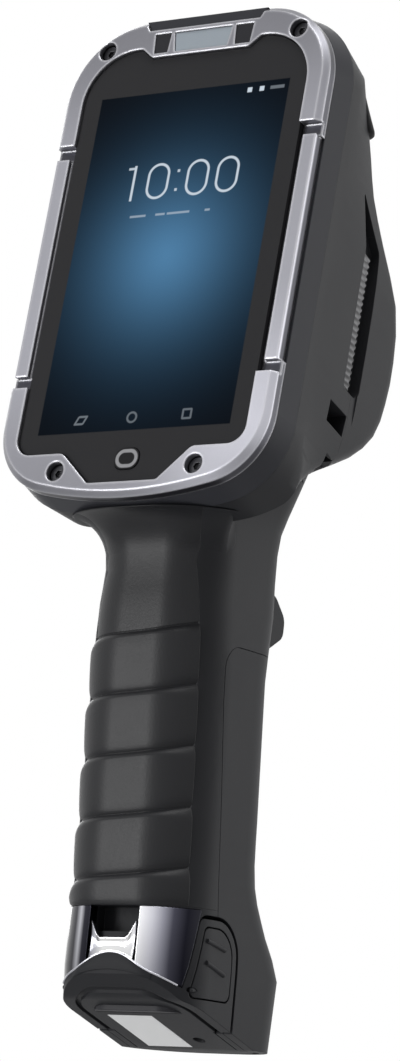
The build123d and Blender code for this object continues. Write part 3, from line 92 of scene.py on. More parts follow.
# ---- shader graphs ---------------------------------------------------------------------------
class Wire:
    """A number in a shader graph that takes part in Python arithmetic."""

    def __init__(self, graph: "NodeTree", link: bpy.types.NodeSocket) -> None:
        """Wrap an output socket of a node in the graph."""
        self.graph = graph
        self.link = link

    def _math(self, operation: str, *values: "Wire | float", clamp: bool = False) -> "Wire":
        """Add one Math node and return its result.

        Args:
            operation: Blender's name of the operation.
            values: its inputs in order.
            clamp: limit the result to 0..1.

        Returns:
            The node's output as a Wire.
        """
        made = self.graph.node("ShaderNodeMath", {"operation": operation, "use_clamp": clamp},
                               dict(enumerate(values)))
        return Wire(self.graph, made.outputs[0])

    def __add__(self, other: "Wire | float") -> "Wire":
        """Sum."""
        return self._math("ADD", self, other)

    __radd__ = __add__

    def __sub__(self, other: "Wire | float") -> "Wire":
        """Difference."""
        return self._math("SUBTRACT", self, other)

    def __rsub__(self, other: "Wire | float") -> "Wire":
        """Difference with a plain number on the left."""
        return self._math("SUBTRACT", other, self)

    def __mul__(self, other: "Wire | float") -> "Wire":
        """Product."""
        return self._math("MULTIPLY", self, other)

    __rmul__ = __mul__

    def __truediv__(self, other: "Wire | float") -> "Wire":
        """Quotient."""
        return self._math("DIVIDE", self, other)

    def __pow__(self, other: "Wire | float") -> "Wire":
        """Power."""
        return self._math("POWER", self, other)

    def __abs__(self) -> "Wire":
        """Size without sign."""
        return self._math("ABSOLUTE", self)

    def at_least(self, other: "Wire | float") -> "Wire":
        """The larger of two numbers."""
        return self._math("MAXIMUM", self, other)

    def at_most(self, other: "Wire | float") -> "Wire":
        """The smaller of two numbers."""
        return self._math("MINIMUM", self, other)

    def root(self) -> "Wire":
        """Square root."""
        return self._math("SQRT", self)

    def falling(self, edge: float, soft: float) -> "Wire":
        """1 below an edge and 0 above it, with a straight ramp between that is soft wide."""
        return self._math("MULTIPLY_ADD", self, -1.0 / soft, edge / soft + 0.5, clamp=True)

    def sine(self) -> "Wire":
        """Sine of the value, in radians."""
        return self._math("SINE", self)

    def falling_off(self) -> "Wire":
        """e to the power of minus this number."""
        return self._math("EXPONENT", self * -1.0)


class NodeTree:
    """A shader tree whose nodes are all made by a single method and read as Wires."""

    def __init__(self, tree: bpy.types.NodeTree) -> None:
        """Take over the tree of a material or of the world, and empty it."""
        self.tree = tree
        self.tree.nodes.clear()

    def node(self, kind: str, settings: dict[str, object] | None = None,
             inputs: dict[int | str, object] | None = None) -> bpy.types.Node:
        """Add any node.

        Args:
            kind: Blender's type name of the node.
            settings: its own properties, set first; "stops" fills a colour ramp.
            inputs: values, Wires or sockets by input name or index.

        Returns:
            The new node.
        """
        made = self.tree.nodes.new(kind)
        for key, value in (settings or {}).items():
            if key == "stops":
                self._fill_ramp(made, value)
            else:
                setattr(made, key, value)
        for key, value in (inputs or {}).items():
            self.feed(made.inputs[key], value)
        return made

    @staticmethod
    def _fill_ramp(made: bpy.types.Node, stops: list[tuple[float, Colour]]) -> None:
        """Set a colour ramp's stops.

        Args:
            made: the ramp node.
            stops: (place, colour) pairs in order.
        """
        elements = made.color_ramp.elements
        while len(elements) < len(stops):
            elements.new(1.0)
        for element, (place, colour) in zip(elements, stops):
            element.position = place
            element.color = (*colour, 1.0)

    def feed(self, socket: bpy.types.NodeSocket, value: object) -> None:
        """Give an input a value or a link.

        Args:
            socket: the input.
            value: a number, a tuple, a Wire or an output socket.
        """
        if isinstance(value, Wire):
            self.tree.links.new(value.link, socket)
        elif isinstance(value, bpy.types.NodeSocket):
            self.tree.links.new(value, socket)
        elif isinstance(value, tuple) and len(value) == 3 and len(socket.default_value) == 4:
            socket.default_value = (*value, 1.0)
        else:
            socket.default_value = value

    def wire(self, made: bpy.types.Node, output: int | str = 0) -> Wire:
        """Read a node's output as a Wire."""
        return Wire(self, made.outputs[output])


class Graph(NodeTree):
    """One material's tree, ending in a surface shader."""

    BEVEL_SAMPLES = 6
    EDGE_GAIN = 7.0

    def __init__(self, name: str) -> None:
        """Start a material with a bare surface shader.

        Args:
            name: the material's name.
        """
        self.material = bpy.data.materials.new(name)
        self.material.use_nodes = True
        super().__init__(self.material.node_tree)
        self.shader = self.node("ShaderNodeBsdfPrincipled")
        self.node("ShaderNodeOutputMaterial", {}, {"Surface": self.shader.outputs[0]})

    def place(self) -> bpy.types.NodeSocket:
        """Object coordinates, in metres."""
        return self.node("ShaderNodeTexCoord").outputs["Object"]

    def along(self, direction: Place, offset: float = 0.0) -> Wire:
        """Distance along a direction, in millimetres.

        Args:
            direction: unit direction.
            offset: added to the distance, in millimetres.

        Returns:
            Object position dotted with the direction, times 1000, plus the offset.
        """
        dotted = self.node("ShaderNodeVectorMath", {"operation": "DOT_PRODUCT"},
                           {0: self.place(), 1: direction})
        return self.wire(dotted, "Value") * (1 / MM) + offset

    def head_axes(self) -> tuple[Wire, Wire, Wire]:
        """Places in the leaning head's own frame.

        Returns:
            Distance across, up the glass and out of the glass, in millimetres.
        """
        lean, rise = math.sin(HEAD_TILT), math.cos(HEAD_TILT)
        up = self.along((0.0, lean, rise), -(HEAD_Y * lean + HEAD_Z * rise) / MM)
        out = self.along((0.0, -rise, lean), (HEAD_Y * rise - HEAD_Z * lean) / MM)
        return self.along((1.0, 0.0, 0.0)), up, out

    def mix(self, share: Wire | float, first: object, second: object) -> bpy.types.NodeSocket:
        """Blend two colours: share 0 gives the first and 1 the second."""
        blended = self.node("ShaderNodeMix", {"data_type": "RGBA"}, {0: share, 6: first, 7: second})
        return blended.outputs[2]

    def scaled(self, colour: object, level: Wire) -> bpy.types.NodeSocket:
        """A colour times a level."""
        made = self.node("ShaderNodeVectorMath", {"operation": "SCALE"}, {0: colour, "Scale": level})
        return made.outputs[0]

    def noise(self, scale: float, detail: float = 2.0, roughness: float = 0.5,
              where: object | None = None) -> Wire:
        """Fractal noise.

        Args:
            scale: features per metre.
            detail: octaves.
            roughness: how strong the finer octaves are.
            where: coordinates; object coordinates if left out.

        Returns:
            The noise, about 0..1.
        """
        made = self.node("ShaderNodeTexNoise", {}, {
            "Vector": where or self.place(), "Scale": scale, "Detail": detail, "Roughness": roughness,
        })
        return self.wire(made, 0)

    def rounded(self, radius: float) -> bpy.types.NodeSocket:
        """The normal, turned softly across every edge within a radius in metres."""
        return self.node("ShaderNodeBevel", {"samples": self.BEVEL_SAMPLES}, {"Radius": radius}).outputs[0]

    def edge_share(self, width: float) -> Wire:
        """How near an edge a point lies: 0 on a flat, towards 1 on the edge itself.

        Args:
            width: how far from the edge it reaches, in metres.

        Returns:
            The difference between the true and the rounded normal, scaled and held to 0..1.
        """
        flat = self.node("ShaderNodeNewGeometry")
        agree = self.node("ShaderNodeVectorMath", {"operation": "DOT_PRODUCT"},
                          {0: self.rounded(width), 1: flat.outputs["Normal"]})
        return ((1.0 - self.wire(agree, "Value")) * self.EDGE_GAIN).at_most(1.0)

    def relief(self, height: Wire, depth: float, round_edges: float = 0.0) -> bpy.types.NodeSocket:
        """A bumped normal.

        Args:
            height: 0..1.
            depth: metres between height 0 and 1.
            round_edges: radius that sharp edges are shaded with, in metres.

        Returns:
            The normal socket.
        """
        inputs: dict[int | str, object] = {"Height": height, "Distance": depth, "Strength": 1.0}
        if round_edges:
            inputs["Normal"] = self.rounded(round_edges)
        return self.node("ShaderNodeBump", {}, inputs).outputs[0]

    def surface(self, **values: object) -> bpy.types.Material:
        """Feed the surface shader.

        Args:
            values: values, Wires or sockets by socket name, with spaces written as underscores.

        Returns:
            The finished material.
        """
        for key, value in values.items():
            self.feed(self.shader.inputs[key.replace("_", " ")], value)
        return self.material


# ---- finishes --------------------------------------------------------------------------------
class Finish(Protocol):
    """Anything that makes one named material."""

    name: str

    def build(self) -> bpy.types.Material:
        """Make the material."""


def toned(colour: Colour, level: float) -> Colour:
    """A colour made darker or lighter, held to white."""
    return tuple(min(1.0, part * level) for part in colour)


@dataclass(frozen=True)
class MouldedFinish:
    """Moulded plastic or rubber with a fine eroded texture."""

    name: str
    colour: Colour
    roughness: float = 0.5
    grain: float = 2600.0
    depth: float = 0.00002
    edge: float = 0.0003
    cloud: float = 60.0
    drift: float = 0.12
    gloss_grain: float = 0.1
    gloss_drift: float = 0.06
    sheen: float = 0.12

    def build(self) -> bpy.types.Material:
        """Make the material: grain in the bump, slow drift in colour and gloss.

        Returns:
            The material.
        """
        graph = Graph(self.name)
        slow = graph.noise(self.cloud, 3.0)
        fine = graph.noise(self.grain, 2.0, 0.6)
        dark, light = toned(self.colour, 1 - self.drift), toned(self.colour, 1 + self.drift)
        gloss = self.roughness - self.gloss_grain / 2 + fine * self.gloss_grain
        return graph.surface(
            Base_Color=graph.mix(slow, dark, light),
            Roughness=gloss + (slow - 0.5) * self.gloss_drift,
            Specular_IOR_Level=self.sheen,
            Normal=graph.relief(fine, self.depth, self.edge),
        )


@dataclass(frozen=True)
class RibbedFinish:
    """Moulding with fine level ribs, as on a loudspeaker's grille."""

    name: str
    colour: Colour
    pitch: float = 1.6
    depth: float = 0.0002
    edge: float = 0.0002
    # painted shade: colour level in the valleys between ribs
    valley_painted_shade: float = 0.25
    grain: float = 2600.0
    grain_share: float = 0.15
    roughness: float = 0.5
    sheen: float = 0.2

    def build(self) -> bpy.types.Material:
        """Make the moulding: a rib is the sine of the height, with painted shade in the valleys between
        the crests.

        Returns:
            The material.
        """
        graph = Graph(self.name)
        rib = (graph.along((0.0, 0.0, 1.0)) * (2 * math.pi / self.pitch)).sine() * 0.5 + 0.5
        fine = graph.noise(self.grain)
        # painted shade: darker in the valleys between ribs, lighter on the crests
        shade = rib * (1 - self.grain_share) + fine * self.grain_share
        return graph.surface(
            Base_Color=graph.mix(shade, toned(self.colour, self.valley_painted_shade), self.colour),
            Roughness=self.roughness + fine * 0.1,
            Specular_IOR_Level=self.sheen,
            Normal=graph.relief(rib, self.depth, self.edge),
        )


@dataclass(frozen=True)
class CastPaintFinish:
    """Metallic paint over a cast frame, with a pale painted highlight along its edges."""

    name: str = "cast_paint"
    colour: Colour = (0.33, 0.33, 0.365)
    rim_colour: Colour = (0.05, 0.05, 0.06)
    rim: float = -0.1
    rim_soft: float = 0.5
    # painted highlight: edges are lightened towards this pale colour, by the share and within the width
    # below
    edge_highlight_colour: Colour = (0.80, 0.80, 0.84)
    edge_highlight: float = 0.55
    edge_highlight_width: float = 0.0011
    flake: float = 5000.0
    flake_tone: float = 0.12
    cloud: float = 45.0
    cloud_tone: float = 0.16
    base_tone: float = 0.86
    # painted shade darkens the front towards both ends, and a painted highlight lightens it round its
    # lower right corner
    ends_from: float = 47.0
    ends_painted_shade: float = 0.42
    corner_at: tuple[float, float] = (30.0, -46.0)
    corner_size: float = 22.0
    corner_painted_highlight: float = 0.75
    metal: float = 0.8
    roughness: float = 0.34
    depth: float = 0.000008
    edge: float = 0.0006

    def build(self) -> bpy.types.Material:
        """Make the paint: fine flake in colour and gloss, a dark rim behind the front and a pale painted
        highlight along its edges.

        The front carries painted shade towards both ends, by ends_painted_shade * (1 - exp(-(height /
        ends_from)^4)), and a painted highlight round its lower right corner, by corner_painted_highlight *
        exp(-(distance / corner_size)^2).

        Returns:
            The material.
        """
        graph = Graph(self.name)
        flake = graph.noise(self.flake, 1.0, 0.5)
        slow = graph.noise(self.cloud, 2.0)
        across, up, out = graph.head_axes()
        # painted shade towards both ends and a painted highlight round the lower right corner, multiplied
        # into the front's colour
        height = (up / self.ends_from) ** 2.0
        ends = 1.0 - (height * height).falling_off()
        corner = (((across - self.corner_at[0]) / self.corner_size) ** 2.0
                  + ((up - self.corner_at[1]) / self.corner_size) ** 2.0).falling_off()
        tone = self.base_tone + flake * self.flake_tone + slow * self.cloud_tone
        front = graph.scaled(self.colour, tone * (1.0 - ends * self.ends_painted_shade + corner * self.corner_painted_highlight))
        side = out.falling(self.rim, self.rim_soft)
        # painted highlight mixed in along every edge
        edge = graph.edge_share(self.edge_highlight_width) * self.edge_highlight
        return graph.surface(
            Base_Color=graph.mix(edge, graph.mix(side, front, self.rim_colour), self.edge_highlight_colour),
            Metallic=self.metal,
            Roughness=self.roughness + (flake - 0.5) * 0.12 + (slow - 0.5) * 0.06,
            Normal=graph.relief(flake, self.depth, self.edge),
        )


@dataclass(frozen=True)
class MetalFinish:
    """Bare or plated metal."""

    name: str
    colour: Colour
    roughness: float
    streak: float = 0.0
    edge: float = 0.0002
    stretch: Place = (1.0, 1.0, 0.04)
    grain: float = 2400.0
    cloud: float = 120.0
    drift: float = 0.07

    def build(self) -> bpy.types.Material:
        """Make the metal, with brushing along the height where streak is set.

        Returns:
            The material.
        """
        graph = Graph(self.name)
        stretched = graph.node("ShaderNodeMapping", {}, {"Vector": graph.place(), "Scale": self.stretch})
        lines = graph.noise(self.grain, 2.0, 0.6, stretched.outputs[0])
        slow = graph.noise(self.cloud, 2.0)
        return graph.surface(
            Base_Color=graph.mix(slow, toned(self.colour, 1 - self.drift), self.colour),
            Metallic=1.0,
            Roughness=self.roughness + (slow - 0.5) * 0.05 + (lines - 0.5) * self.streak,
            Normal=graph.relief(lines, 0.000002 + self.streak * 0.00002, self.edge),
        )


@dataclass(frozen=True)
class ChromePaintedReflectionsFinish:
    """Plated metal with painted reflections that run from side to side, and painted shade that deepens
    downwards.

    A stop holds a place across, from 0 at the left to 1 at the right, and the colour of the painted
    reflection there.
    """

    name: str = "bright_chrome"
    # painted reflections: bands of bright and dark colour across the plating, fixed to its surface
    stops: tuple[tuple[float, Colour], ...] = (
        (0.0, (0.006, 0.006, 0.008)), (0.08, (0.02, 0.02, 0.026)), (0.19, (0.03, 0.03, 0.038)),
        (0.235, (0.5, 0.5, 0.54)), (0.27, (0.03, 0.03, 0.04)), (0.33, (0.02, 0.02, 0.026)),
        (0.36, (0.5, 0.5, 0.55)), (0.43, (1.0, 1.0, 1.0)), (0.62, (0.95, 0.95, 0.96)),
        (0.66, (0.8, 0.8, 0.83)), (0.70, (0.88, 0.88, 0.91)), (0.77, (0.60, 0.60, 0.66)),
        (0.83, (0.28, 0.28, 0.33)), (0.88, (0.06, 0.06, 0.08)), (0.94, (0.012, 0.012, 0.018)),
        (1.0, (0.03, 0.03, 0.036)),
    )
    reach: float = 18.0
    low: float = 11.0
    high: float = 27.0
    # painted shade: the share of the colour left at the lower edge
    low_painted_shade: float = 0.5
    haze: float = 160.0
    roughness: float = 0.14
    depth: float = 0.000002
    edge: float = 0.0003

    def build(self) -> bpy.types.Material:
        """Make the plating: its painted reflections follow the place across, and painted shade darkens it
        towards its lower edge.

        Returns:
            The material.
        """
        graph = Graph(self.name)
        across = graph.along((1.0, 0.0, 0.0)) / (2 * self.reach) + 0.5
        height = graph.along((0.0, 0.0, 1.0), -self.low) / (self.high - self.low)
        # painted reflections by the place across, darkened by painted shade towards the lower edge
        tone = graph.node("ShaderNodeValToRGB", {"stops": list(self.stops)}, {0: across})
        level = self.low_painted_shade + height.at_least(0.0).at_most(1.0) * (1 - self.low_painted_shade)
        haze = graph.noise(self.haze, 3.0)
        return graph.surface(
            Base_Color=graph.scaled(tone.outputs[0], level),
            Metallic=1.0,
            Roughness=self.roughness + (haze - 0.5) * 0.06,
            Normal=graph.relief(haze, self.depth, self.edge),
        )


@dataclass(frozen=True)
class GlossFinish:
    """Polished tinted window, film or board."""

    name: str
    colour: Colour
    roughness: float = 0.12
    sheen: float = 0.25
    mottle: float = 0.1

    def build(self) -> bpy.types.Material:
        """Make the glossy surface with a faint haze of fingerprints.

        Returns:
            The material.
        """
        graph = Graph(self.name)
        haze = graph.noise(90.0, 4.0, 0.6)
        return graph.surface(
            Base_Color=graph.mix(haze, toned(self.colour, 1 - self.mottle), self.colour),
            Roughness=self.roughness + (haze - 0.5).at_least(0.0) * 0.25,
            Specular_IOR_Level=self.sheen,
            Normal=graph.relief(haze, 0.000004),
        )


class Mark(Enum):
    """Shapes that the lit display can draw."""

    ROUND_RING = "round_ring"
    SQUARE_RING = "square_ring"
    BLOCK = "block"


@dataclass(frozen=True)
class ScreenMark:
    """One mark on the display, placed in the head's own millimetres."""

    shape: Mark
    x: float
    y: float
    half_w: float
    half_h: float
    stroke: float = 0.5
    lean: float = 0.0
    level: float = 1.0
    corner: float = 0.12

    def distance(self, across: Wire, up: Wire) -> Wire:
        """Distance from a ring's line, or outside a block, in millimetres.

        Outside a rounded box it is the distance to the nearest corner arc's middle less the
        corner's radius, and inside it is minus the distance to the nearest side.

        Args:
            across: place across the head.
            up: place up the head.

        Returns:
            The distance, without its sign for a ring.
        """
        x = abs(across - self.x - (up - self.y) * self.lean)
        y = abs(up - self.y)
        corner = min(self.half_w, self.half_h) if self.shape is Mark.ROUND_RING else self.corner
        out_x = (x - (self.half_w - corner)).at_least(0.0)
        out_y = (y - (self.half_h - corner)).at_least(0.0)
        inside = (x - (self.half_w - corner)).at_least(y - (self.half_h - corner)).at_most(0.0)
        edge = (out_x * out_x + out_y * out_y).root() + inside - corner
        return edge if self.shape is Mark.BLOCK else abs(edge)

    def drawn(self, across: Wire, up: Wire, blur: float) -> Wire:
        """The mark's ink, 0 to 1, with edges that are blur millimetres soft."""
        width = 0.0 if self.shape is Mark.BLOCK else self.stroke / 2
        return self.distance(across, up).falling(width, blur)


def clock_marks() -> tuple[ScreenMark, ...]:
    """Digits of a plain clock, a dashed line under it, status dots and three keys.

    Returns:
        The marks, in the head's millimetres.
    """
    digits, line, status, keys = 20.0, 11.2, 41.6, -40.4
    return (
        ScreenMark(Mark.BLOCK, -12.6, digits, 0.32, 4.6, level=0.9),
        ScreenMark(Mark.BLOCK, -13.6, digits + 3.9, 0.9, 0.3, level=0.8),
        *(ScreenMark(Mark.ROUND_RING, x, digits, 2.75, 4.35, 0.62, level=0.9) for x in (-5.7, 5.2, 13.4)),
        *(ScreenMark(Mark.BLOCK, -0.3, y, 0.35, 0.35, level=0.8) for y in (17.3, 22.2)),
        *(ScreenMark(Mark.BLOCK, x, line, half_w, 0.28, level=0.42)
          for x, half_w in ((-9.6, 2.2), (-3.4, 1.3), (1.6, 3.1), (9.6, 0.7))),
        *(ScreenMark(Mark.BLOCK, x, status, 0.62, 0.62, level=0.95) for x in (15.5, 18.8)),
        ScreenMark(Mark.BLOCK, 23.0, status, 1.9, 0.42, level=0.22),
        ScreenMark(Mark.SQUARE_RING, 14.1, keys, 1.1, 1.1, level=0.2),
        ScreenMark(Mark.ROUND_RING, -0.8, keys, 1.2, 1.2, level=0.2),
        ScreenMark(Mark.SQUARE_RING, -14.8, keys, 1.1, 0.9, lean=0.5, level=0.24),
    )


@dataclass(frozen=True)
class LitGlassFinish:
    """Cover glass: printed black border and, inside it, the lit display."""

    name: str = "lit_glass"
    border: Colour = (0.034, 0.034, 0.036)
    behind: Colour = (0.001, 0.001, 0.0015)
    half_w: float = 26.15
    half_h: float = 43.55
    blur: float = 0.22
    border_blur: float = 0.25
    glow_at: tuple[float, float] = (0.6, 0.4)
    glow_size: tuple[float, float] = (18.4, 19.2)
    glow_power: float = 0.78
    glow: Colour = (0.074, 0.204, 0.367)
    night: Colour = (0.0012, 0.0020, 0.0035)
    ink: Colour = (0.62, 0.70, 0.78)
    smear: float = 70.0
    roughness: float = 0.10
    sheen: float = 0.02
    marks: tuple[ScreenMark, ...] = field(default_factory=clock_marks)

    def build(self) -> bpy.types.Material:
        """Make the glass.

        The image is a night-blue ground with a soft round glow, whose strength is
        exp(-(r^2)^p) of the scaled distance r from its middle, and the marks over it.

        Returns:
            The material.
        """
        graph = Graph(self.name)
        across, up, _ = graph.head_axes()
        dx = (across - self.glow_at[0]) / self.glow_size[0]
        dy = (up - self.glow_at[1]) / self.glow_size[1]
        glow = ((dx * dx + dy * dy) ** self.glow_power).falling_off()
        picture = graph.mix(glow, self.night, self.glow)
        inks = [mark.drawn(across, up, self.blur) * mark.level for mark in self.marks]
        lit = graph.mix(reduce(Wire.at_least, inks), picture, self.ink)
        shown = (abs(across) - self.half_w).at_least(abs(up) - self.half_h).falling(0.0, self.border_blur)
        smear = graph.noise(self.smear, 4.0, 0.6)
        return graph.surface(
            Base_Color=graph.mix(shown, self.border, self.behind),
            Roughness=self.roughness + (smear - 0.55).at_least(0.0) * 0.3,
            Specular_IOR_Level=self.sheen,
            Emission_Color=graph.mix(shown, (0.0, 0.0, 0.0), lit),
            Emission_Strength=1.0,
        )


@dataclass(frozen=True)
class RingedKeyFinish:
    """Dark key with a pale printed ring round its edge."""

    name: str = "ringed_key"
    colour: Colour = (0.012, 0.012, 0.013)
    print_colour: Colour = (0.30, 0.30, 0.31)
    middle: tuple[float, float] = (0.0, -50.7)
    half: tuple[float, float] = (2.55, 1.85)
    stroke: float = 0.85
    blur: float = 0.2
    grain: float = 2500.0
    depth: float = 0.000006
    edge: float = 0.0003
    roughness: float = 0.42
    sheen: float = 0.08

    def build(self) -> bpy.types.Material:
        """Make the key: a ring drawn where the distance to a rounded box is near nought.

        Returns:
            The material.
        """
        graph = Graph(self.name)
        across, up, _ = graph.head_axes()
        ring = ScreenMark(Mark.ROUND_RING, *self.middle, *self.half, self.stroke)
        fine = graph.noise(self.grain)
        return graph.surface(
            Base_Color=graph.mix(ring.drawn(across, up, self.blur), self.colour, self.print_colour),
            Roughness=self.roughness + fine * 0.08,
            Specular_IOR_Level=self.sheen,
            Normal=graph.relief(fine, self.depth, self.edge),
        )


# ---- meshes -----------------------------------------------------------------------------------
def linked(name: str, data: bpy.types.ID) -> bpy.types.Object:
    """An object of its data, linked to the scene.

    Args:
        name: the object's name.
        data: its mesh, camera or light.

    Returns:
        The new object.
    """
    made = bpy.data.objects.new(name, data)
    bpy.context.scene.collection.objects.link(made)
    return made


def smoothed(mesh: bpy.types.Mesh, crease: float) -> None:
    """Shade a mesh softly, apart from edges sharper than the crease in degrees."""
    mesh.shade_smooth()
    mesh.set_sharp_from_angle(angle=math.radians(crease))


def walled(outer: np.ndarray, inner: np.ndarray) -> np.ndarray:
    """Rings that run along the outer wall's points and back along the inner wall's."""
    return np.concatenate([outer, inner[:, ::-1]], axis=1)


def full_turn(count: int) -> np.ndarray:
    """Angles evenly round a circle, without the closing one."""
    return np.linspace(0.0, 2 * math.pi, count, endpoint=False)


def closed_tube(name: str, rings: np.ndarray) -> bpy.types.Object:
    """A closed piece from rings of points.

    Neighbouring rings are joined by quads and the two end rings are filled, so the surface is
    closed. The rings may run either way round: the faces are turned outwards afterwards.

    Args:
        name: the piece's name.
        rings: array of (ring, place round the ring, x y z), in millimetres.

    Returns:
        The new object, softly shaded up to sharp edges.
    """
    count, around = rings.shape[:2]
    index = np.arange(count * around).reshape(count, around)
    onward = np.roll(index, -1, axis=1)
    quads = np.stack([index[:-1], onward[:-1], onward[1:], index[1:]], axis=-1).reshape(-1, 4)
    faces = [*quads.tolist(), index[0][::-1].tolist(), index[-1].tolist()]
    mesh = bpy.data.meshes.new(name)
    mesh.from_pydata((rings.reshape(-1, 3) * MM).tolist(), [], faces)
    merged = bmesh.new()
    merged.from_mesh(mesh)
    bmesh.ops.recalc_face_normals(merged, faces=merged.faces)
    merged.to_mesh(mesh)
    merged.free()
    smoothed(mesh, TUBE_CREASE)
    return linked(name, mesh)


def from_head(x: np.ndarray, up: np.ndarray, out: np.ndarray) -> np.ndarray:
    """Points of the leaning head's own frame, turned into the object's frame.

    The two frames share x; up and out are turned about it by the lean and moved to the head's place.

    Args:
        x: place across, in millimetres.
        up: place up the glass.
        out: place out of the glass.

    Returns:
        Array of points in millimetres.
    """
    lean, rise = math.sin(HEAD_TILT), math.cos(HEAD_TILT)
    y = HEAD_Y / MM + up * lean - out * rise
    z = HEAD_Z / MM + up * rise + out * lean
    return np.stack([x, y, z], axis=-1)


def soft_copy(name: str, solid: bpy.types.Object, crease: float) -> bpy.types.Object:
    """A merged copy of a solid's mesh, softly shaded across its shallow edges.

    Args:
        name: the copy's name.
        solid: the CAD node's object.
        crease: edges sharper than this angle stay sharp, in degrees.

    Returns:
        The new object.
    """
    mesh = solid.data.copy()
    mesh.name = name
    merged = bmesh.new()
    merged.from_mesh(mesh)
    bmesh.ops.remove_doubles(merged, verts=merged.verts, dist=SAME_POINT)
    merged.to_mesh(mesh)
    merged.free()
    stored = mesh.attributes.get("custom_normal")
    if stored is not None:
        mesh.attributes.remove(stored)
    smoothed(mesh, crease)
    mesh.materials.clear()
    return linked(name, mesh)


@dataclass(frozen=True)
class HandleForm:
    """The front of the handle's outer form, as rows of sizes that run softly into each other.

    A row holds height, half width, front and corner radius, in millimetres.
    """

    rows: tuple[tuple[float, ...], ...] = (
        (-2.0, 17.8, -21.7, 13.5), (16.5, 18.4, -21.6, 13.5), (26.0, 18.2, -21.0, 13.5),
        (37.0, 18.0, -20.5, 13.5), (52.0, 18.0, -20.0, 13.5), (84.5, 17.8, -19.5, 13.5),
        (100.0, 17.0, -18.8, 12.5), (108.0, 16.7, -17.8, 12.5), (115.0, 16.9, -18.4, 12.5),
        (120.0, 17.5, -19.6, 12.5), (124.0, 18.7, -21.8, 12.5),
    )

    def at(self, height: np.ndarray) -> tuple[np.ndarray, ...]:
        """Sizes at any heights.

        Between two rows each size follows the cubic that has, at either row, the slope of the
        line through that row's two neighbours.

        Args:
            height: heights in millimetres.

        Returns:
            Half width, front and corner radius, each shaped as the heights.
        """
        table = np.array(self.rows)
        last = len(table) - 1
        low = np.clip(np.searchsorted(table[:, 0], height, side="right") - 1, 0, last - 1)
        before, after = np.maximum(low - 1, 0), np.minimum(low + 2, last)
        span = table[low + 1, 0] - table[low, 0]
        share = (height - table[low, 0]) / span
        sizes = []
        for column in range(1, table.shape[1]):
            here, there = table[low, column], table[low + 1, column]
            rise_here = (there - table[before, column]) / (table[low + 1, 0] - table[before, 0]) * span
            rise_there = (table[after, column] - here) / (table[after, 0] - table[low, 0]) * span
            sizes.append((1 + 2 * share) * (1 - share) ** 2 * here + share * (1 - share) ** 2 * rise_here
                         + share ** 2 * (3 - 2 * share) * there - share ** 2 * (1 - share) * rise_there)
        return tuple(sizes)

    def front_arc(self, share: np.ndarray, height: np.ndarray, grow: np.ndarray,
                  reach: np.ndarray | float) -> np.ndarray:
        """Points of the section's front: a flat between two corner arcs.

        The length from the middle is laid along the flat first and then round the corner as
        an angle, and each point is moved out along the corner's radius.

        Args:
            share: place across, from -1 at the left end to 1 at the right end.
            height: height of each point.
            grow: how far each point stands outside the form, along its normal.
            reach: how far round each corner the ends lie, in radians.

        Returns:
            Array of points in millimetres.
        """
        half_w, front, radius = self.at(height)
        flat = half_w - radius
        length = flat + radius * reach
        place = np.abs(share) * length
        turn = np.maximum(place - flat, 0.0) / radius
        side = np.sign(share)
        x = side * (np.minimum(place, flat) + (radius + grow) * np.sin(turn))
        y = front + radius - (radius + grow) * np.cos(turn)
        return np.stack(np.broadcast_arrays(x, y, height), axis=-1)


# ---- sub-assemblies --------------------------------------------------------------------------
@dataclass
class Workshop:
    """What every sub-assembly needs: the loaded frame and the finished materials."""

    frame: dict
    made: dict[str, bpy.types.Material]

    def slot_of(self, node: str) -> str:
        """The record's material slot of a CAD node."""
        slots = {part["node"]: part["material_slot"] for part in self.frame["record"]["subparts"]}
        return slots[node]

    def dress(self, finishes: dict[str, tuple[str, ...]]) -> None:
        """Give CAD nodes their finishes.

        Args:
            finishes: names of nodes by the name of their finish.
        """
        for finish, nodes in finishes.items():
            for node in nodes:
                solid = self.frame["nodes"][node]
                solid.data.materials.clear()
                solid.data.materials.append(self.made[finish])
                log.info("%s wears %s", node, finish)

    def add(self, piece: bpy.types.Object, body: str, slot: str, finish: str) -> None:
        """Put a new piece on a body.

        Args:
            piece: the piece.
            body: the body that carries it.
            slot: the record's material slot; not used.
            finish: the finish's name.
        """
        piece.data.materials.append(self.made[finish])
        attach(piece, body)
        log.info("%s rides on %s", piece.name, body)

    def stand_for(self, piece: bpy.types.Object, node: str, finish: str) -> None:
        """Let a piece that lies where a CAD node does stand for it, on that node's body."""
        self.add(piece, self.frame["nodes"][node]["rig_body"], self.slot_of(node), finish)
        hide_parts(node)


class SubAssembly(Protocol):
    """Anything that adds its own pieces to the scene."""

    def build(self, shop: Workshop) -> None:
        """Make the pieces and put them on their bodies."""


@dataclass
class DisplayHead:
    """Bezel, glass, windows and key, and the fittings and works inside the terminal."""

    finishes: dict[str, tuple[str, ...]] = field(default_factory=lambda: {
        "cast_paint": ("front_bezel",),
        "black_screws": ("bezel_screws", "rear_cover_screws", "trigger_pin", "foot_screw"),
        "lit_glass": ("cover_glass",),
        "ringed_key": ("home_key",),
        "frosted_bar": ("light_bar",),
        "dark_window": ("light_sensor_window", "camera_window", "scan_window"),
        "head_moulding": ("front_housing",),
        "black_rubber": ("glass_gasket", "housing_seal", "scan_window_hood"),
        "panel_film": ("display_panel",),
        "tray_steel": ("display_carrier", "scan_bracket", "shield_can", "vibration_motor"),
        "black_parts": ("home_key_switch", "camera_module", "scan_engine", "loudspeaker",
                        "contact_block", "trigger_switch"),
        "green_board": ("main_board",),
    })

    def build(self, shop: Workshop) -> None:
        """Give every node of the head its finish."""
        shop.dress(self.finishes)


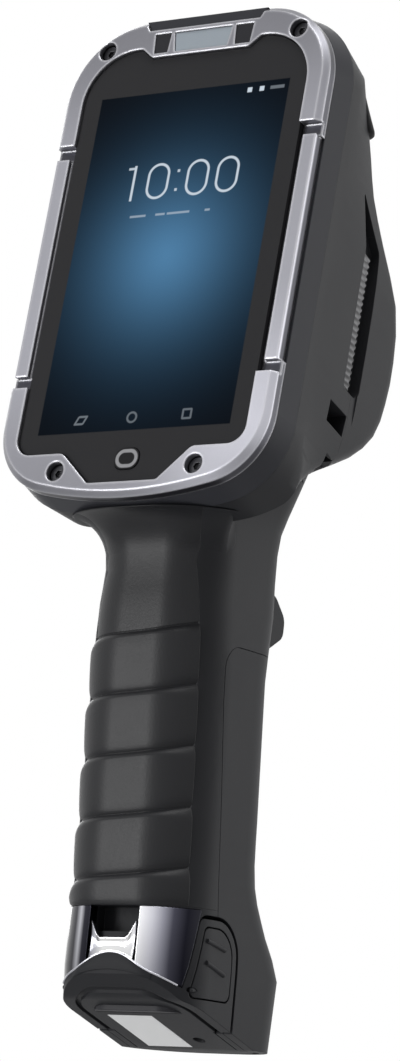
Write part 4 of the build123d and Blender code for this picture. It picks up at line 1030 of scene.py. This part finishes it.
@dataclass
class BackAndHandle:
    """Rear housing with the handle, its skins and the battery foot."""

    finishes: dict[str, tuple[str, ...]] = field(default_factory=lambda: {
        "gold_plate": ("contact_fingers",),
        "cable_film": ("handle_cable",),
        "battery_case": ("battery_pack",),
        "bare_plate": ("foot_label_plate",),
        "bright_chrome": ("contact_plate_right", "contact_plate_left"),
    })
    soft: dict[str, tuple[str, ...]] = field(default_factory=lambda: {
        "back_moulding": ("rear_housing", "rear_cover"),
        "handle_moulding": ("handle_collar", "handle_spine", "scan_trigger", "battery_foot",
                            "latch_paddle_right", "latch_paddle_left"),
    })
    crease: float = 26.0

    def build(self, shop: Workshop) -> None:
        """Finish the plain nodes and put softly shaded copies in place of the lofted ones.

        Args:
            shop: the frame and the finishes to build with.
        """
        shop.dress(self.finishes)
        for finish, nodes in self.soft.items():
            for node in nodes:
                copy = soft_copy(f"{node}_skin", shop.frame["nodes"][node], self.crease)
                shop.stand_for(copy, node, finish)


@dataclass
class LeafSpring:
    """Trigger's return spring."""

    wall: Place = (0.0, 9.0, 101.6)
    pad: Place = (0.0, 19.5, 97.4)
    crease: float = 30.0

    @staticmethod
    def scaled(place: Place) -> Place:
        """The place in metres."""
        return tuple(size * MM for size in place)

    def build(self, shop: Workshop) -> None:
        """Put a softly shaded copy of the spring, which the wall holds and the trigger pushes, in place of
        its node; the copy is not bent.

        Args:
            shop: the frame and the finishes to build with.
        """
        node = "trigger_spring"
        piece = soft_copy("leaf_spring", shop.frame["nodes"][node], self.crease)
        piece.data.materials.append(shop.made["spring_steel"])
        self.scaled(self.wall)
        self.scaled(self.pad)
        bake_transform(piece)
        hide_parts(node)
        log.info("%s bends between terminal and trigger_body", piece.name)


@dataclass
class SideGrilles:
    """Ribbed loudspeaker grilles that fill the slots in the head's sides."""

    low: float = -20.6
    high: float = 14.4
    front: float = -31.3
    back: float = -36.6
    floor_x: float = 30.7
    front_x: float = 33.3
    back_x: float = 32.3
    pitch: float = 1.6
    rib: float = 0.4
    per_rib: int = 8
    across: int = 9
    taper: float = 0.8
    end_share: float = 0.25

    def build(self, shop: Workshop) -> None:
        """Sweep the section up the head.

        Its outer face moves in by rib / 2 * (1 - sin(2 pi * height / pitch)), and sinks towards
        the slot's floor over the taper at both ends.

        Args:
            shop: the frame and the finishes to build with.
        """
        count = int((self.high - self.low) / self.pitch * self.per_rib) + 1
        up = np.linspace(self.low, self.high, count)[:, None]
        wave = self.rib * 0.5 * (np.sin(2 * math.pi * (up - self.low) / self.pitch) - 1.0)
        share = np.linspace(0.0, 1.0, self.across)[None, :]
        ends = np.clip(np.minimum(up - self.low, self.high - up) / self.taper, self.end_share, 1.0)
        outer = self.floor_x + (self.front_x + (self.back_x - self.front_x) * share
                                - self.floor_x) * ends + wave * ends
        depth = self.front + (self.back - self.front) * share
        x = np.concatenate([outer, np.full((count, 2), self.floor_x)], axis=1)
        out = np.broadcast_to(np.concatenate([depth[0], [self.back, self.front]]), x.shape)
        for name, side in SIDES:
            node = f"speaker_grille_{name}"
            rings = from_head(side * x, np.broadcast_to(up, x.shape), out)
            shop.stand_for(closed_tube(f"{node}_ribs", rings), node, "grille_moulding")


@dataclass
class HoodEars:
    """Rubber ends of the scan window's hood, rounded over the head's shoulders."""

    high: Place = (31.8, 11.3, 228.8)
    low: Place = (30.7, 17.6, 216.0)
    outward: tuple[float, float] = (0.848, 0.530)
    thin: float = 0.5
    thick: float = 2.4
    swell: float = 1.3
    half_length: tuple[float, float] = (2.6, 4.4)
    power: float = 2.6
    end_share: float = 0.07
    end_size: float = 0.72
    along: int = 33
    around: int = 48

    def build(self, shop: Workshop) -> None:
        """Sweep a squarish oval down each shoulder, growing until it ends in a step.

        The oval is |a / thickness|^power + |b / half length|^power = 1. Both sizes are rounded
        down to end_size over the last end_share of the way, as a quarter of a circle.

        Args:
            shop: the frame and the finishes to build with.
        """
        share = np.linspace(0.0, 1.0, self.along)
        close = np.clip((1.0 - share) / self.end_share, 0.0, 1.0)
        close = self.end_size + (1.0 - self.end_size) * np.sqrt(1.0 - (1.0 - close) ** 2)
        high, low = np.array(self.high), np.array(self.low)
        middle = high + (low - high) * share[:, None]
        thickness = (self.thin + (self.thick - self.thin) * share ** self.swell) * close
        length = (self.half_length[0] + (self.half_length[1] - self.half_length[0]) * share) * close
        angle = full_turn(self.around)
        bend = 2.0 / self.power
        a = np.sign(np.cos(angle)) * np.abs(np.cos(angle)) ** bend * thickness[:, None]
        b = np.sign(np.sin(angle)) * np.abs(np.sin(angle)) ** bend * length[:, None]
        x = middle[:, :1] + a * self.outward[0] - b * self.outward[1]
        y = middle[:, 1:2] + a * self.outward[1] + b * self.outward[0]
        z = np.broadcast_to(middle[:, 2:], x.shape)
        for name, side in SIDES:
            rings = np.stack([side * x, y, z], axis=-1)
            shop.add(closed_tube(f"hood_ear_{name}", rings), "terminal", "rubber", "black_rubber")


@dataclass
class RubberGrip:
    """Overlapping bands of rubber down the handle's front."""

    form: HandleForm = field(default_factory=HandleForm)
    low: float = 29.8
    high: float = 117.0
    edge_y: float = -15.0
    skin: float = 2.2
    grooves: tuple[float, ...] = (36.5, 50.2, 64.2, 78.2, 92.2)
    slant: float = 1.0
    lift: float = 1.2
    proud: float = 0.85
    tuck: float = 0.5
    shoulder: float = 1.3
    corner_shoulder: float = 2.4
    corner_power: float = 2.5
    taper: tuple[tuple[float, float], ...] = (
        (0.04, 0.1), (0.1, 0.3), (0.2, 0.5), (0.35, 0.66), (0.55, 0.8), (0.78, 0.92),
    )
    round_over: tuple[tuple[float, float], ...] = (
        (1.0, 1.0), (0.8, 0.96), (0.55, 0.72), (0.3, 0.28), (0.1, -0.25), (0.0, -0.8),
    )
    lip: tuple[tuple[float, float], ...] = ((0.1, -0.7), (0.35, -0.3))
    plain: tuple[float, ...] = (0.2, 0.4, 0.6, 0.8, 1.0)
    across: int = 97

    def groove(self, height: float, share: np.ndarray) -> np.ndarray:
        """Line of a groove: its middle height + slant * share + lift * max(share, 0) squared."""
        return height + self.slant * share + self.lift * np.maximum(share, 0.0) ** 2

    def rows(self, share: np.ndarray) -> tuple[np.ndarray, np.ndarray]:
        """Heights of the mesh's rows and how far each stands proud.

        A band is tucked in under the one above at its top edge, swells out over its shoulder,
        which is taller at the corners, and tapers back to the form at its lower edge.
        Each table pairs a place with a share of proud, or of tuck where it is below nought. The
        place is a share of the band's body for taper, of the shoulder downwards for round_over,
        and millimetres above the groove for lip.

        Args:
            share: places across, -1 to 1.

        Returns:
            Heights and proudness, each shaped (rows, places).
        """
        zero = np.zeros_like(share)
        shoulder = self.shoulder + self.corner_shoulder * np.abs(share) ** self.corner_power
        floor = zero + self.low
        heights, growth = [floor], [0.0]
        for line in (self.groove(middle, share) for middle in self.grooves):
            body_top = line - shoulder
            heights += [floor + (body_top - floor) * part for part, _ in self.taper]
            heights += [line - shoulder * part for part, _ in self.round_over]
            heights += [line + above for above, _ in self.lip]
            growth += [out * (self.proud if out > 0 else self.tuck)
                       for _, out in self.taper + self.round_over + self.lip]
            floor = heights[-1]
        heights += [floor + (self.high - floor) * part for part in self.plain]
        growth += [0.0] * len(self.plain)
        return np.array(heights), np.array(growth)[:, None] + zero

    def build(self, shop: Workshop) -> None:
        """Sweep the bands: each row is a ring of its outer points and, going back, its inner ones.

        The rows reach round each corner by the angle whose cosine puts their ends at edge_y.

        Args:
            shop: the frame and the finishes to build with.
        """
        share = np.linspace(-1.0, 1.0, self.across)
        heights, growth = self.rows(share)
        _, front, radius = self.form.at(heights)
        reach = np.arccos(np.clip((front + radius - self.edge_y) / radius, -1.0, 1.0))
        outer = self.form.front_arc(share, heights, growth, reach)
        inner = self.form.front_arc(share, heights, growth * 0.0 - self.skin, reach)
        shop.stand_for(closed_tube("rubber_grip", walled(outer, inner)), "grip_front", "grip_rubber")


@dataclass
class NeckFlare:
    """Rounded moulding that leads the neck into the underside of the head."""

    form: HandleForm = field(default_factory=HandleForm)
    rise: float = 9.5
    spread: float = 7.0
    under_z: float = 119.7
    turn_y: float = -10.2
    back_slope: float = 1.04
    reach: float = 1.5
    skin: float = 0.06
    bury: float = 0.9
    lap: float = 0.4
    fade: float = 0.22
    edge_at: float = 112.0
    edge_out: float = 3.0
    form_top: float = 123.9
    front_share: float = 0.577
    across: int = 81
    steps: int = 17

    def rings(self, first: float, last: float) -> np.ndarray:
        """Sweep a quarter of an ellipse round part of the neck.

        At a turn t the surface stands spread * (1 - cos t) outside the neck and rise * sin t above
        its lower edge, so it leaves the neck upright and meets the head flat. The spread dies away
        as 3 f^2 - 2 f^3 towards the two ends of the whole flare. The upper edge is level in front
        and climbs with the head's underside behind turn_y.

        Args:
            first: where the part starts, from -1 at the flare's left end.
            last: where it ends, up to 1 at the flare's right end.

        Returns:
            Rings of points in millimetres.
        """
        share = np.linspace(first, last, self.across)[None, :]
        turn = np.linspace(0.0, math.pi / 2, self.steps)[:, None]
        fade = np.clip((1.0 - np.abs(share)) / self.fade, 0.0, 1.0)
        fade = fade * fade * (3 - 2 * fade)
        edge = self.form.front_arc(share, np.full_like(share, self.edge_at),
                                   np.full_like(share, self.edge_out), self.reach)
        top = self.under_z + np.maximum(edge[..., 1] - self.turn_y, 0.0) * self.back_slope
        height = top - self.rise * (1 - np.sin(turn))
        out = self.spread * (1 - np.cos(turn)) * fade + self.skin
        read_at = np.minimum(height, self.form_top)
        share = np.broadcast_to(share, height.shape)
        points = self.form.front_arc(share, read_at, out, self.reach)
        points[..., 2] = height
        back = self.form.front_arc(share, read_at, np.full_like(out, -self.bury), self.reach)
        back[..., 2] = height + self.lap
        return np.concatenate([points, back[::-1]], axis=0).transpose(1, 0, 2)

    def build(self, shop: Workshop) -> None:
        """Make the rubber front and the moulded sides of the flare.

        Args:
            shop: the frame and the finishes to build with.
        """
        edge = self.front_share
        for name, first, last, slot, finish in (
            ("neck_flare_front", -edge, edge, "rubber", "grip_rubber"),
            ("neck_flare_right", edge, 1.0, "housing", "back_moulding"),
            ("neck_flare_left", -1.0, -edge, "housing", "back_moulding"),
        ):
            shop.add(closed_tube(name, self.rings(first, last)), "terminal", slot, finish)


@dataclass
class PaddlePins:
    """Dark pins of the latch paddles, ending inside the foot."""

    x: float = 16.9
    z: float = 11.4
    radius: float = 0.6
    front: float = -13.9
    back: float = 1.6
    chamfer: float = 0.15
    tip: float = 0.75
    around: int = 32

    def build(self, shop: Workshop) -> None:
        """Turn both pins: circles round the axis, smaller by the share tip at the chamfered ends.

        Args:
            shop: the frame and the finishes to build with.
        """
        angle = full_turn(self.around)
        along = np.array([self.front, self.front + self.chamfer, self.back - self.chamfer, self.back])
        radii = self.radius * np.array([self.tip, 1.0, 1.0, self.tip])
        for name, side in SIDES:
            x = side * self.x + radii[:, None] * np.cos(angle)
            z = self.z + radii[:, None] * np.sin(angle)
            y = np.broadcast_to(along[:, None], x.shape)
            node = f"paddle_pin_{name}"
            piece = closed_tube(f"{node}_short", np.stack([x, y, z], axis=-1))
            shop.stand_for(piece, node, "handle_moulding")


@dataclass(frozen=True)
class ArchForm:
    """The arch over the battery foot, seen from the front, with a crown in its middle."""

    middle: float = 16.65
    side: float = 8.95
    half_w: float = 19.4
    crown: float = 2.4
    crown_half_w: float = 10.5

    def plain(self, x: np.ndarray) -> np.ndarray:
        """Height of the circle through the arch's two ends and its middle.

        Args:
            x: places across, in millimetres.

        Returns:
            Heights in millimetres.
        """
        sag = self.middle - self.side
        radius = (self.half_w ** 2 + sag ** 2) / (2 * sag)
        return self.middle - radius + np.sqrt(radius ** 2 - x ** 2)

    def crowned(self, x: np.ndarray) -> np.ndarray:
        """The same with the crown: crown * (1 - (x / crown_half_w)^2)^2 more."""
        share = np.clip(1.0 - (x / self.crown_half_w) ** 2, 0.0, 1.0)
        return self.plain(x) + self.crown * share ** 2


@dataclass
class ArchTrim:
    """Foot's crown, the saddle over it and the thin bead along the arch."""

    form: HandleForm = field(default_factory=HandleForm)
    arch: ArchForm = field(default_factory=ArchForm)
    along: int = 121
    steepest: float = 0.97
    crown_rows: int = 7
    crown_lap: float = 1.6
    crown_gap: float = 0.12
    crown_taper: float = 2.0
    crown_skin: float = 0.05
    crown_proud: float = 0.3
    crown_arc: tuple[float, float] = (0.12, 0.88)
    crown_deep: float = 0.5
    saddle_rows: int = 15
    saddle_half_w: float = 5.9
    saddle_top: float = 22.2
    saddle_gap: float = 0.25
    saddle_sunk: float = 0.02
    horn: float = 3.8
    horn_from: float = 3.4
    horn_power: float = 1.5
    dish: float = 0.7
    dish_fade: float = 0.4
    skin: float = 1.4
    bead: float = 0.26
    bead_out: float = 0.02
    bead_reach: float = 0.9
    bead_around: int = 12

    def on_front(self, x: np.ndarray, z: np.ndarray, grow: np.ndarray) -> np.ndarray:
        """Points on the handle's front at given places across and heights.

        Round a corner the angle's sine is the place beyond the flat over the corner's radius.

        Args:
            x: places across, in millimetres.
            z: heights.
            grow: how far each point stands outside the form, along its normal.

        Returns:
            Array of points in millimetres.
        """
        half_w, front, radius = self.form.at(z)
        flat = half_w - radius
        turn = np.arcsin(np.clip((np.abs(x) - flat) / radius, 0.0, self.steepest))
        y = front + radius - (radius + grow) * np.cos(turn)
        return np.stack(np.broadcast_arrays(x + np.sign(x) * grow * np.sin(turn), y, z), axis=-1)

    def crown(self) -> np.ndarray:
        """Fill the crescent between the plain and the crowned arch on the foot's front.

        It swells by the sine of the share of its height, and dies away towards both tips.

        Returns:
            Rings of points in millimetres.
        """
        x = np.linspace(-self.arch.crown_half_w, self.arch.crown_half_w, self.along)[:, None]
        low, high = self.arch.plain(x) - self.crown_lap, self.arch.crowned(x) - self.crown_gap
        z = low + (high - low) * np.linspace(0.0, 1.0, self.crown_rows)
        ends = np.clip((self.arch.crown_half_w - np.abs(x)) / self.crown_taper, 0.0, 1.0)
        arc = np.linspace(*self.crown_arc, self.crown_rows)
        outer = self.on_front(x, z, self.crown_skin + self.crown_proud * ends * np.sin(math.pi * arc))
        return walled(outer, self.on_front(x, z, np.full_like(z, -self.crown_deep)))

    def saddle(self) -> np.ndarray:
        """Shape the saddle: waisted and dished, with a horn rising at either end.

        The dish is the sine of the share of the height, and a horn rises by end^horn_power.

        Returns:
            Rings of points in millimetres.
        """
        x = np.linspace(-self.saddle_half_w, self.saddle_half_w, self.along)[:, None]
        share = np.linspace(0.0, 1.0, self.saddle_rows)
        end = np.clip((np.abs(x) - self.horn_from) / (self.saddle_half_w - self.horn_from), 0.0, 1.0)
        low = self.arch.crowned(x) + self.saddle_gap
        high = self.saddle_top + self.horn * end ** self.horn_power
        z = low + (high - low) * share
        dished = self.dish * np.sin(math.pi * share) * (1.0 - self.dish_fade * end)
        outer = self.on_front(x, z, -dished - self.saddle_sunk)
        return walled(outer, self.on_front(x, z, np.full_like(z, -self.skin)))

    def rim(self) -> np.ndarray:
        """Carry a small circle along the crowned arch, square to its line.

        Returns:
            Rings of points in millimetres.
        """
        half_w, _, corner = (float(size) for size in self.form.at(np.array(self.arch.side)))
        end = half_w - corner + corner * math.sin(self.bead_reach)
        x = np.linspace(-end, end, self.along)
        line = self.on_front(x, self.arch.crowned(x), np.full_like(x, self.bead_out))
        ahead = np.gradient(line, axis=0)
        ahead /= np.linalg.norm(ahead, axis=1, keepdims=True)
        upward = np.array([0.0, 0.0, 1.0]) - ahead * ahead[:, 2:3]
        upward /= np.linalg.norm(upward, axis=1, keepdims=True)
        outward = np.cross(ahead, upward)
        angle = full_turn(self.bead_around)[None, :, None]
        return line[:, None] + self.bead * (np.cos(angle) * upward[:, None]
                                            + np.sin(angle) * outward[:, None])

    def build(self, shop: Workshop) -> None:
        """Lay the crown, the saddle and the bead.

        Args:
            shop: the frame and the finishes to build with.
        """
        shop.add(closed_tube("foot_crown", self.crown()), "battery_body", "foot", "handle_moulding")
        shop.stand_for(closed_tube("waisted_saddle", self.saddle()), "lock_saddle", "bright_chrome")
        shop.add(closed_tube("arch_trim", self.rim()), "battery_body", "foot", "trim_metal")


def finishes() -> list[Finish]:
    """Every finish of the object.

    Returns:
        The finishes, in no particular order.
    """
    return [
        CastPaintFinish(),
        LitGlassFinish(),
        RingedKeyFinish(),
        ChromePaintedReflectionsFinish(),
        MouldedFinish("head_moulding", (0.034, 0.035, 0.041), 0.44),
        MouldedFinish("back_moulding", (0.021, 0.0215, 0.024), 0.50),
        MouldedFinish("handle_moulding", (0.018, 0.0185, 0.021), 0.50),
        MouldedFinish("grip_rubber", (0.015, 0.0153, 0.0172), 0.38, 1800.0, 0.00003, sheen=0.22),
        MouldedFinish("black_rubber", (0.014, 0.014, 0.015), 0.6, 1500.0, 0.00003),
        RibbedFinish("grille_moulding", (0.34, 0.34, 0.35)),
        MouldedFinish("frosted_bar", (0.32, 0.36, 0.40), 0.35, drift=0.05),
        MouldedFinish("black_parts", (0.018, 0.018, 0.019), 0.45),
        MouldedFinish("battery_case", (0.03, 0.03, 0.034), 0.4),
        MouldedFinish("bare_plate", (0.72, 0.725, 0.73), 0.45, drift=0.04),
        GlossFinish("dark_window", (0.012, 0.012, 0.016)),
        GlossFinish("panel_film", (0.006, 0.007, 0.01)),
        GlossFinish("green_board", (0.02, 0.11, 0.05), 0.35),
        GlossFinish("cable_film", (0.42, 0.2, 0.04), 0.3),
        MetalFinish("black_screws", (0.06, 0.06, 0.065), 0.38),
        MetalFinish("tray_steel", (0.6, 0.6, 0.58), 0.35, 0.1),
        MetalFinish("trim_metal", (0.5, 0.5, 0.54), 0.25, 0.02),
        MetalFinish("gold_plate", (0.85, 0.62, 0.25), 0.2),
        MetalFinish("spring_steel", (0.55, 0.55, 0.56), 0.3),
    ]


# ---- studio ------------------------------------------------------------------------------------
@dataclass(frozen=True)
class SoftLamp:
    """A soft rectangular lamp: where it stands, what it faces, its size and its power."""

    name: str
    at: Place
    aim: Place
    size: tuple[float, float]
    watts: float

    def build(self) -> None:
        """Add the lamp, turned so that its face looks at its aim."""
        data = bpy.data.lights.new(self.name, "AREA")
        data.shape = "RECTANGLE"
        data.size, data.size_y = self.size
        data.energy = self.watts
        facing = (Vector(self.aim) - Vector(self.at)).to_track_quat("-Z", "Y")
        linked(self.name, data).matrix_world = Matrix.Translation(self.at) @ facing.to_matrix().to_4x4()


@dataclass
class Studio:
    """Pale floor, soft lamps and the camera."""

    focal: float = 4000.0
    picture_height: float = 1061.0
    sensor: float = 36.0
    clip: tuple[float, float] = (0.01, 20.0)
    camera_at: Place = (0.497, -0.770, -0.046)
    right: Place = (0.8459, 0.5293, 0.0639)
    up: Place = (0.0410, -0.1840, 0.9820)
    floor_z: float = -0.32
    floor_half: float = 1.6
    floor_colour: Colour = (0.82, 0.82, 0.82)
    ambient: float = 0.27
    lamps: tuple[SoftLamp, ...] = (
        SoftLamp("front_strip", (-0.48, -0.82, 0.02), (0.0, 0.0, 0.06), (0.2, 0.8), 5.2),
        SoftLamp("top_box", (0.15, -0.20, 1.05), (0.0, 0.0, 0.15), (0.6, 0.5), 4.2),
        SoftLamp("back_box", (0.62, 0.62, 0.20), (0.0, 0.0, 0.12), (0.4, 0.9), 2.6),
        SoftLamp("back_fill", (-0.55, 0.75, 0.45), (0.0, 0.0, 0.12), (0.5, 0.7), 3.2),
    )

    def camera(self) -> None:
        """Set the camera, whose focal length is given in pixels of the picture's long side."""
        data = bpy.data.cameras.new("camera")
        data.sensor_fit = "VERTICAL"
        data.sensor_height = self.sensor
        data.lens = self.focal / self.picture_height * self.sensor
        data.clip_start, data.clip_end = self.clip
        right = Vector(self.right).normalized()
        back = right.cross(Vector(self.up)).normalized()
        turned = Matrix((right, back.cross(right), back)).transposed().to_4x4()
        camera = linked("camera", data)
        camera.matrix_world = Matrix.Translation(self.camera_at) @ turned
        bpy.context.scene.camera = camera

    def floor(self) -> None:
        """Lay the pale floor."""
        mesh = bpy.data.meshes.new("floor")
        corners = np.array([(-1, -1, 0), (1, -1, 0), (1, 1, 0), (-1, 1, 0)]) * self.floor_half
        mesh.from_pydata((corners + (0.0, 0.0, self.floor_z)).tolist(), [], [(0, 1, 2, 3)])
        mesh.materials.append(Graph("pale_floor").surface(Base_Color=self.floor_colour, Roughness=0.9))
        floor = linked("floor", mesh)

    def world(self) -> None:
        """White to the eye, in reflections and through glass, and a plain level of light elsewhere."""
        world = bpy.data.worlds.new("studio")
        bpy.context.scene.world = world
        world.use_nodes = True
        tree = NodeTree(world.node_tree)
        path = tree.node("ShaderNodeLightPath")
        seen = tree.wire(path, "Is Camera Ray").at_least(tree.wire(path, "Is Glossy Ray"))
        seen = seen.at_least(tree.wire(path, "Is Transmission Ray"))
        level = seen * (1.0 - self.ambient) + self.ambient
        background = tree.node("ShaderNodeBackground", {}, {"Color": (1.0, 1.0, 1.0), "Strength": level})
        tree.node("ShaderNodeOutputWorld", {}, {"Surface": background.outputs[0]})

    def build(self) -> None:
        """Set up camera, floor, world and lamps."""
        self.camera()
        self.floor()
        self.world()
        for lamp in self.lamps:
            lamp.build()
        bpy.context.scene.view_settings.view_transform = "Standard"


def main() -> None:
    """Load the solids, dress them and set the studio."""
    logging.basicConfig(level=logging.INFO)
    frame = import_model()
    shop = Workshop(frame, {finish.name: finish.build() for finish in finishes()})
    parts: tuple[SubAssembly, ...] = (
        DisplayHead(), BackAndHandle(), LeafSpring(), SideGrilles(), HoodEars(),
        RubberGrip(), NeckFlare(), PaddlePins(), ArchTrim(),
    )
    for part in parts:
        part.build(shop)
    Studio().build()


if __name__ == "__main__":
    main()
